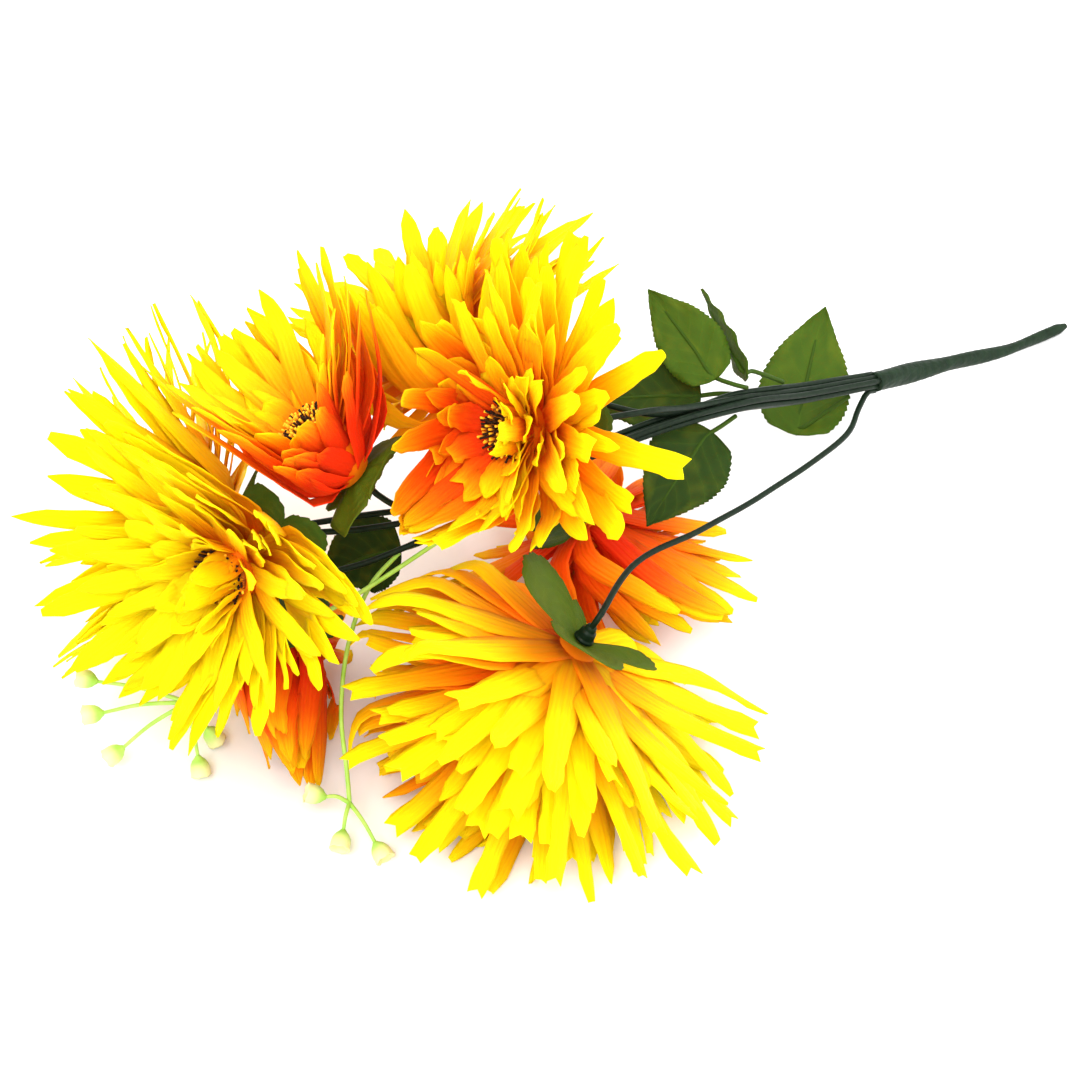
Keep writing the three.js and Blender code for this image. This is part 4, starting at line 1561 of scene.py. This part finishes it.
    def sprigs(self) -> list[Sprig]:
        """Returns the filler sprigs."""
        return [
            Sprig(1, (vec(-22.7, 21, 63.9), vec(-62, 16, 57), vec(-88, 14, 55.5), vec(-110, 17, 54.5),
                      vec(-116, 20, 44), vec(-119, 23, 32), vec(-121, 26, 22)),
                  (vec(-146, 47, 24), vec(-148, 38, 18), vec(-146, 27, 10), vec(-124, 14, 7),
                   vec(-117, 22, 9))),
            Sprig(2, (vec(-40.9, 24.4, 59.6), vec(-54, 20, 54), vec(-68, 8, 44), vec(-78, -6, 28),
                      vec(-83, -20, 14), vec(-86, -28, 9)),
                  (vec(-93, -24, 12), vec(-92, -36, 7), vec(-84, -44, 5))),
        ]

    def build(self) -> Iterable[Object]:
        """Builds and dresses every piece.

        Yields:
            Each finished object.
        """
        petal, leaf, stamen = PetalFabric().material(), LeafFabric().material(), StamenFibre().material()
        wire = Plastic("wire coating", (0.003, 0.009, 0.004), (0.008, 0.019, 0.008), 0.42,
                       specular=0.12).material()
        pale = Plastic("sprig plastic", (0.30, 0.60, 0.06), (0.45, 0.74, 0.13), 0.45, 200.0).material()
        arrangement = self.arrangement()
        for i, head in enumerate(self.heads):
            room = arrangement.room(i)
            yield PetalHead(i + 1, head, room).build(petal)
            yield Disc(i + 1, head).build(stamen)
            yield Calyx(i + 1, head, room).build(leaf)
        for stem in self.wires(arrangement):
            yield stem.build(wire)
        yield TapedStem(self.tape, arrangement).build(FloralTape().material())
        for blade in self.leaves():
            yield blade.build(leaf)
            yield blade.build_twig(leaf)
        for sprig in self.sprigs():
            yield sprig.build(pale)


@dataclass
class Studio:
    """A pale floor, soft light and the camera. Lights are given by name, place, size and power."""

    target: Vector = field(default_factory=lambda: vec(0, 0, 70) - ORIGIN)
    distance: float = 800.0
    azimuth: float = math.radians(-27)
    elevation: float = math.radians(50)
    lens: float = 80.0
    sensor: float = 36.0
    floor_reach: float = 12.0
    surround: float = 1.15
    lights: tuple[tuple[str, Vector, float, float], ...] = (
        ("key", vec(-0.7, -0.6, 1.5), 1.2, 29.0),
        ("fill", vec(1.1, -0.7, 1.0), 1.4, 17.0),
        ("back", vec(0.2, 1.2, 1.1), 1.2, 11.0),
    )

    def floor(self) -> None:
        """Lays a pale floor under the bouquet."""
        mesh = bmesh.new()
        bmesh.ops.create_grid(mesh, x_segments=1, y_segments=1, size=self.floor_reach)
        data = bpy.data.meshes.new("floor")
        mesh.to_mesh(data)
        mesh.free()
        data.materials.append(Graph("floor paint", 0.9, Specular_IOR_Level=0.1,
                                    Base_Color=(0.9, 0.9, 0.9, 1.0)).material)
        placed("floor", data)

    def light(self, name: str, place: Vector, size: float, power: float) -> None:
        """Hangs a soft square light that looks at the bouquet.

        Args:
            name: The light's name.
            place: Where it hangs, in metres.
            size: Its side in metres.
            power: Its power in watts.
        """
        lamp = bpy.data.lights.new(name, "AREA")
        lamp.size = size
        lamp.energy = power
        made = placed(name, lamp)
        made.location = place
        made.rotation_euler = (-place).to_track_quat("-Z", "Y").to_euler()

    def camera(self) -> None:
        """Sets the camera in front of the bouquet, above it and to its left."""
        flat = math.cos(self.elevation)
        back = vec(math.sin(self.azimuth) * flat, -math.cos(self.azimuth) * flat, math.sin(self.elevation))
        right = vec(math.cos(self.azimuth), math.sin(self.azimuth), 0)
        made = placed("camera", bpy.data.cameras.new("camera"))
        made.data.lens = self.lens
        made.data.sensor_width = self.sensor
        turn = Matrix((right, back.cross(right), back)).transposed().to_4x4()
        made.matrix_world = Matrix.Translation((self.target + back * self.distance) * MILLIMETRE) @ turn
        bpy.context.scene.camera = made

    def build(self) -> None:
        """Sets up floor, light and camera."""
        self.floor()
        for light in self.lights:
            self.light(*light)
        world = bpy.data.worlds.new("studio")
        world.use_nodes = True
        sky = world.node_tree.nodes["Background"].inputs
        sky["Color"].default_value = (1.0, 1.0, 1.0, 1.0)
        sky["Strength"].default_value = self.surround
        bpy.context.scene.world = world
        bpy.context.scene.view_settings.view_transform = "Standard"
        self.camera()


def main() -> None:
    """Builds the studio and the bouquet and reports each piece."""
    logging.basicConfig(level=logging.INFO, format="%(message)s")
    Studio().build()
    for piece in Bouquet().build():
        LOG.info("%s: %d faces", piece.name, len(piece.data.polygons))
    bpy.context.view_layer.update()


if __name__ == "__main__":
    main()
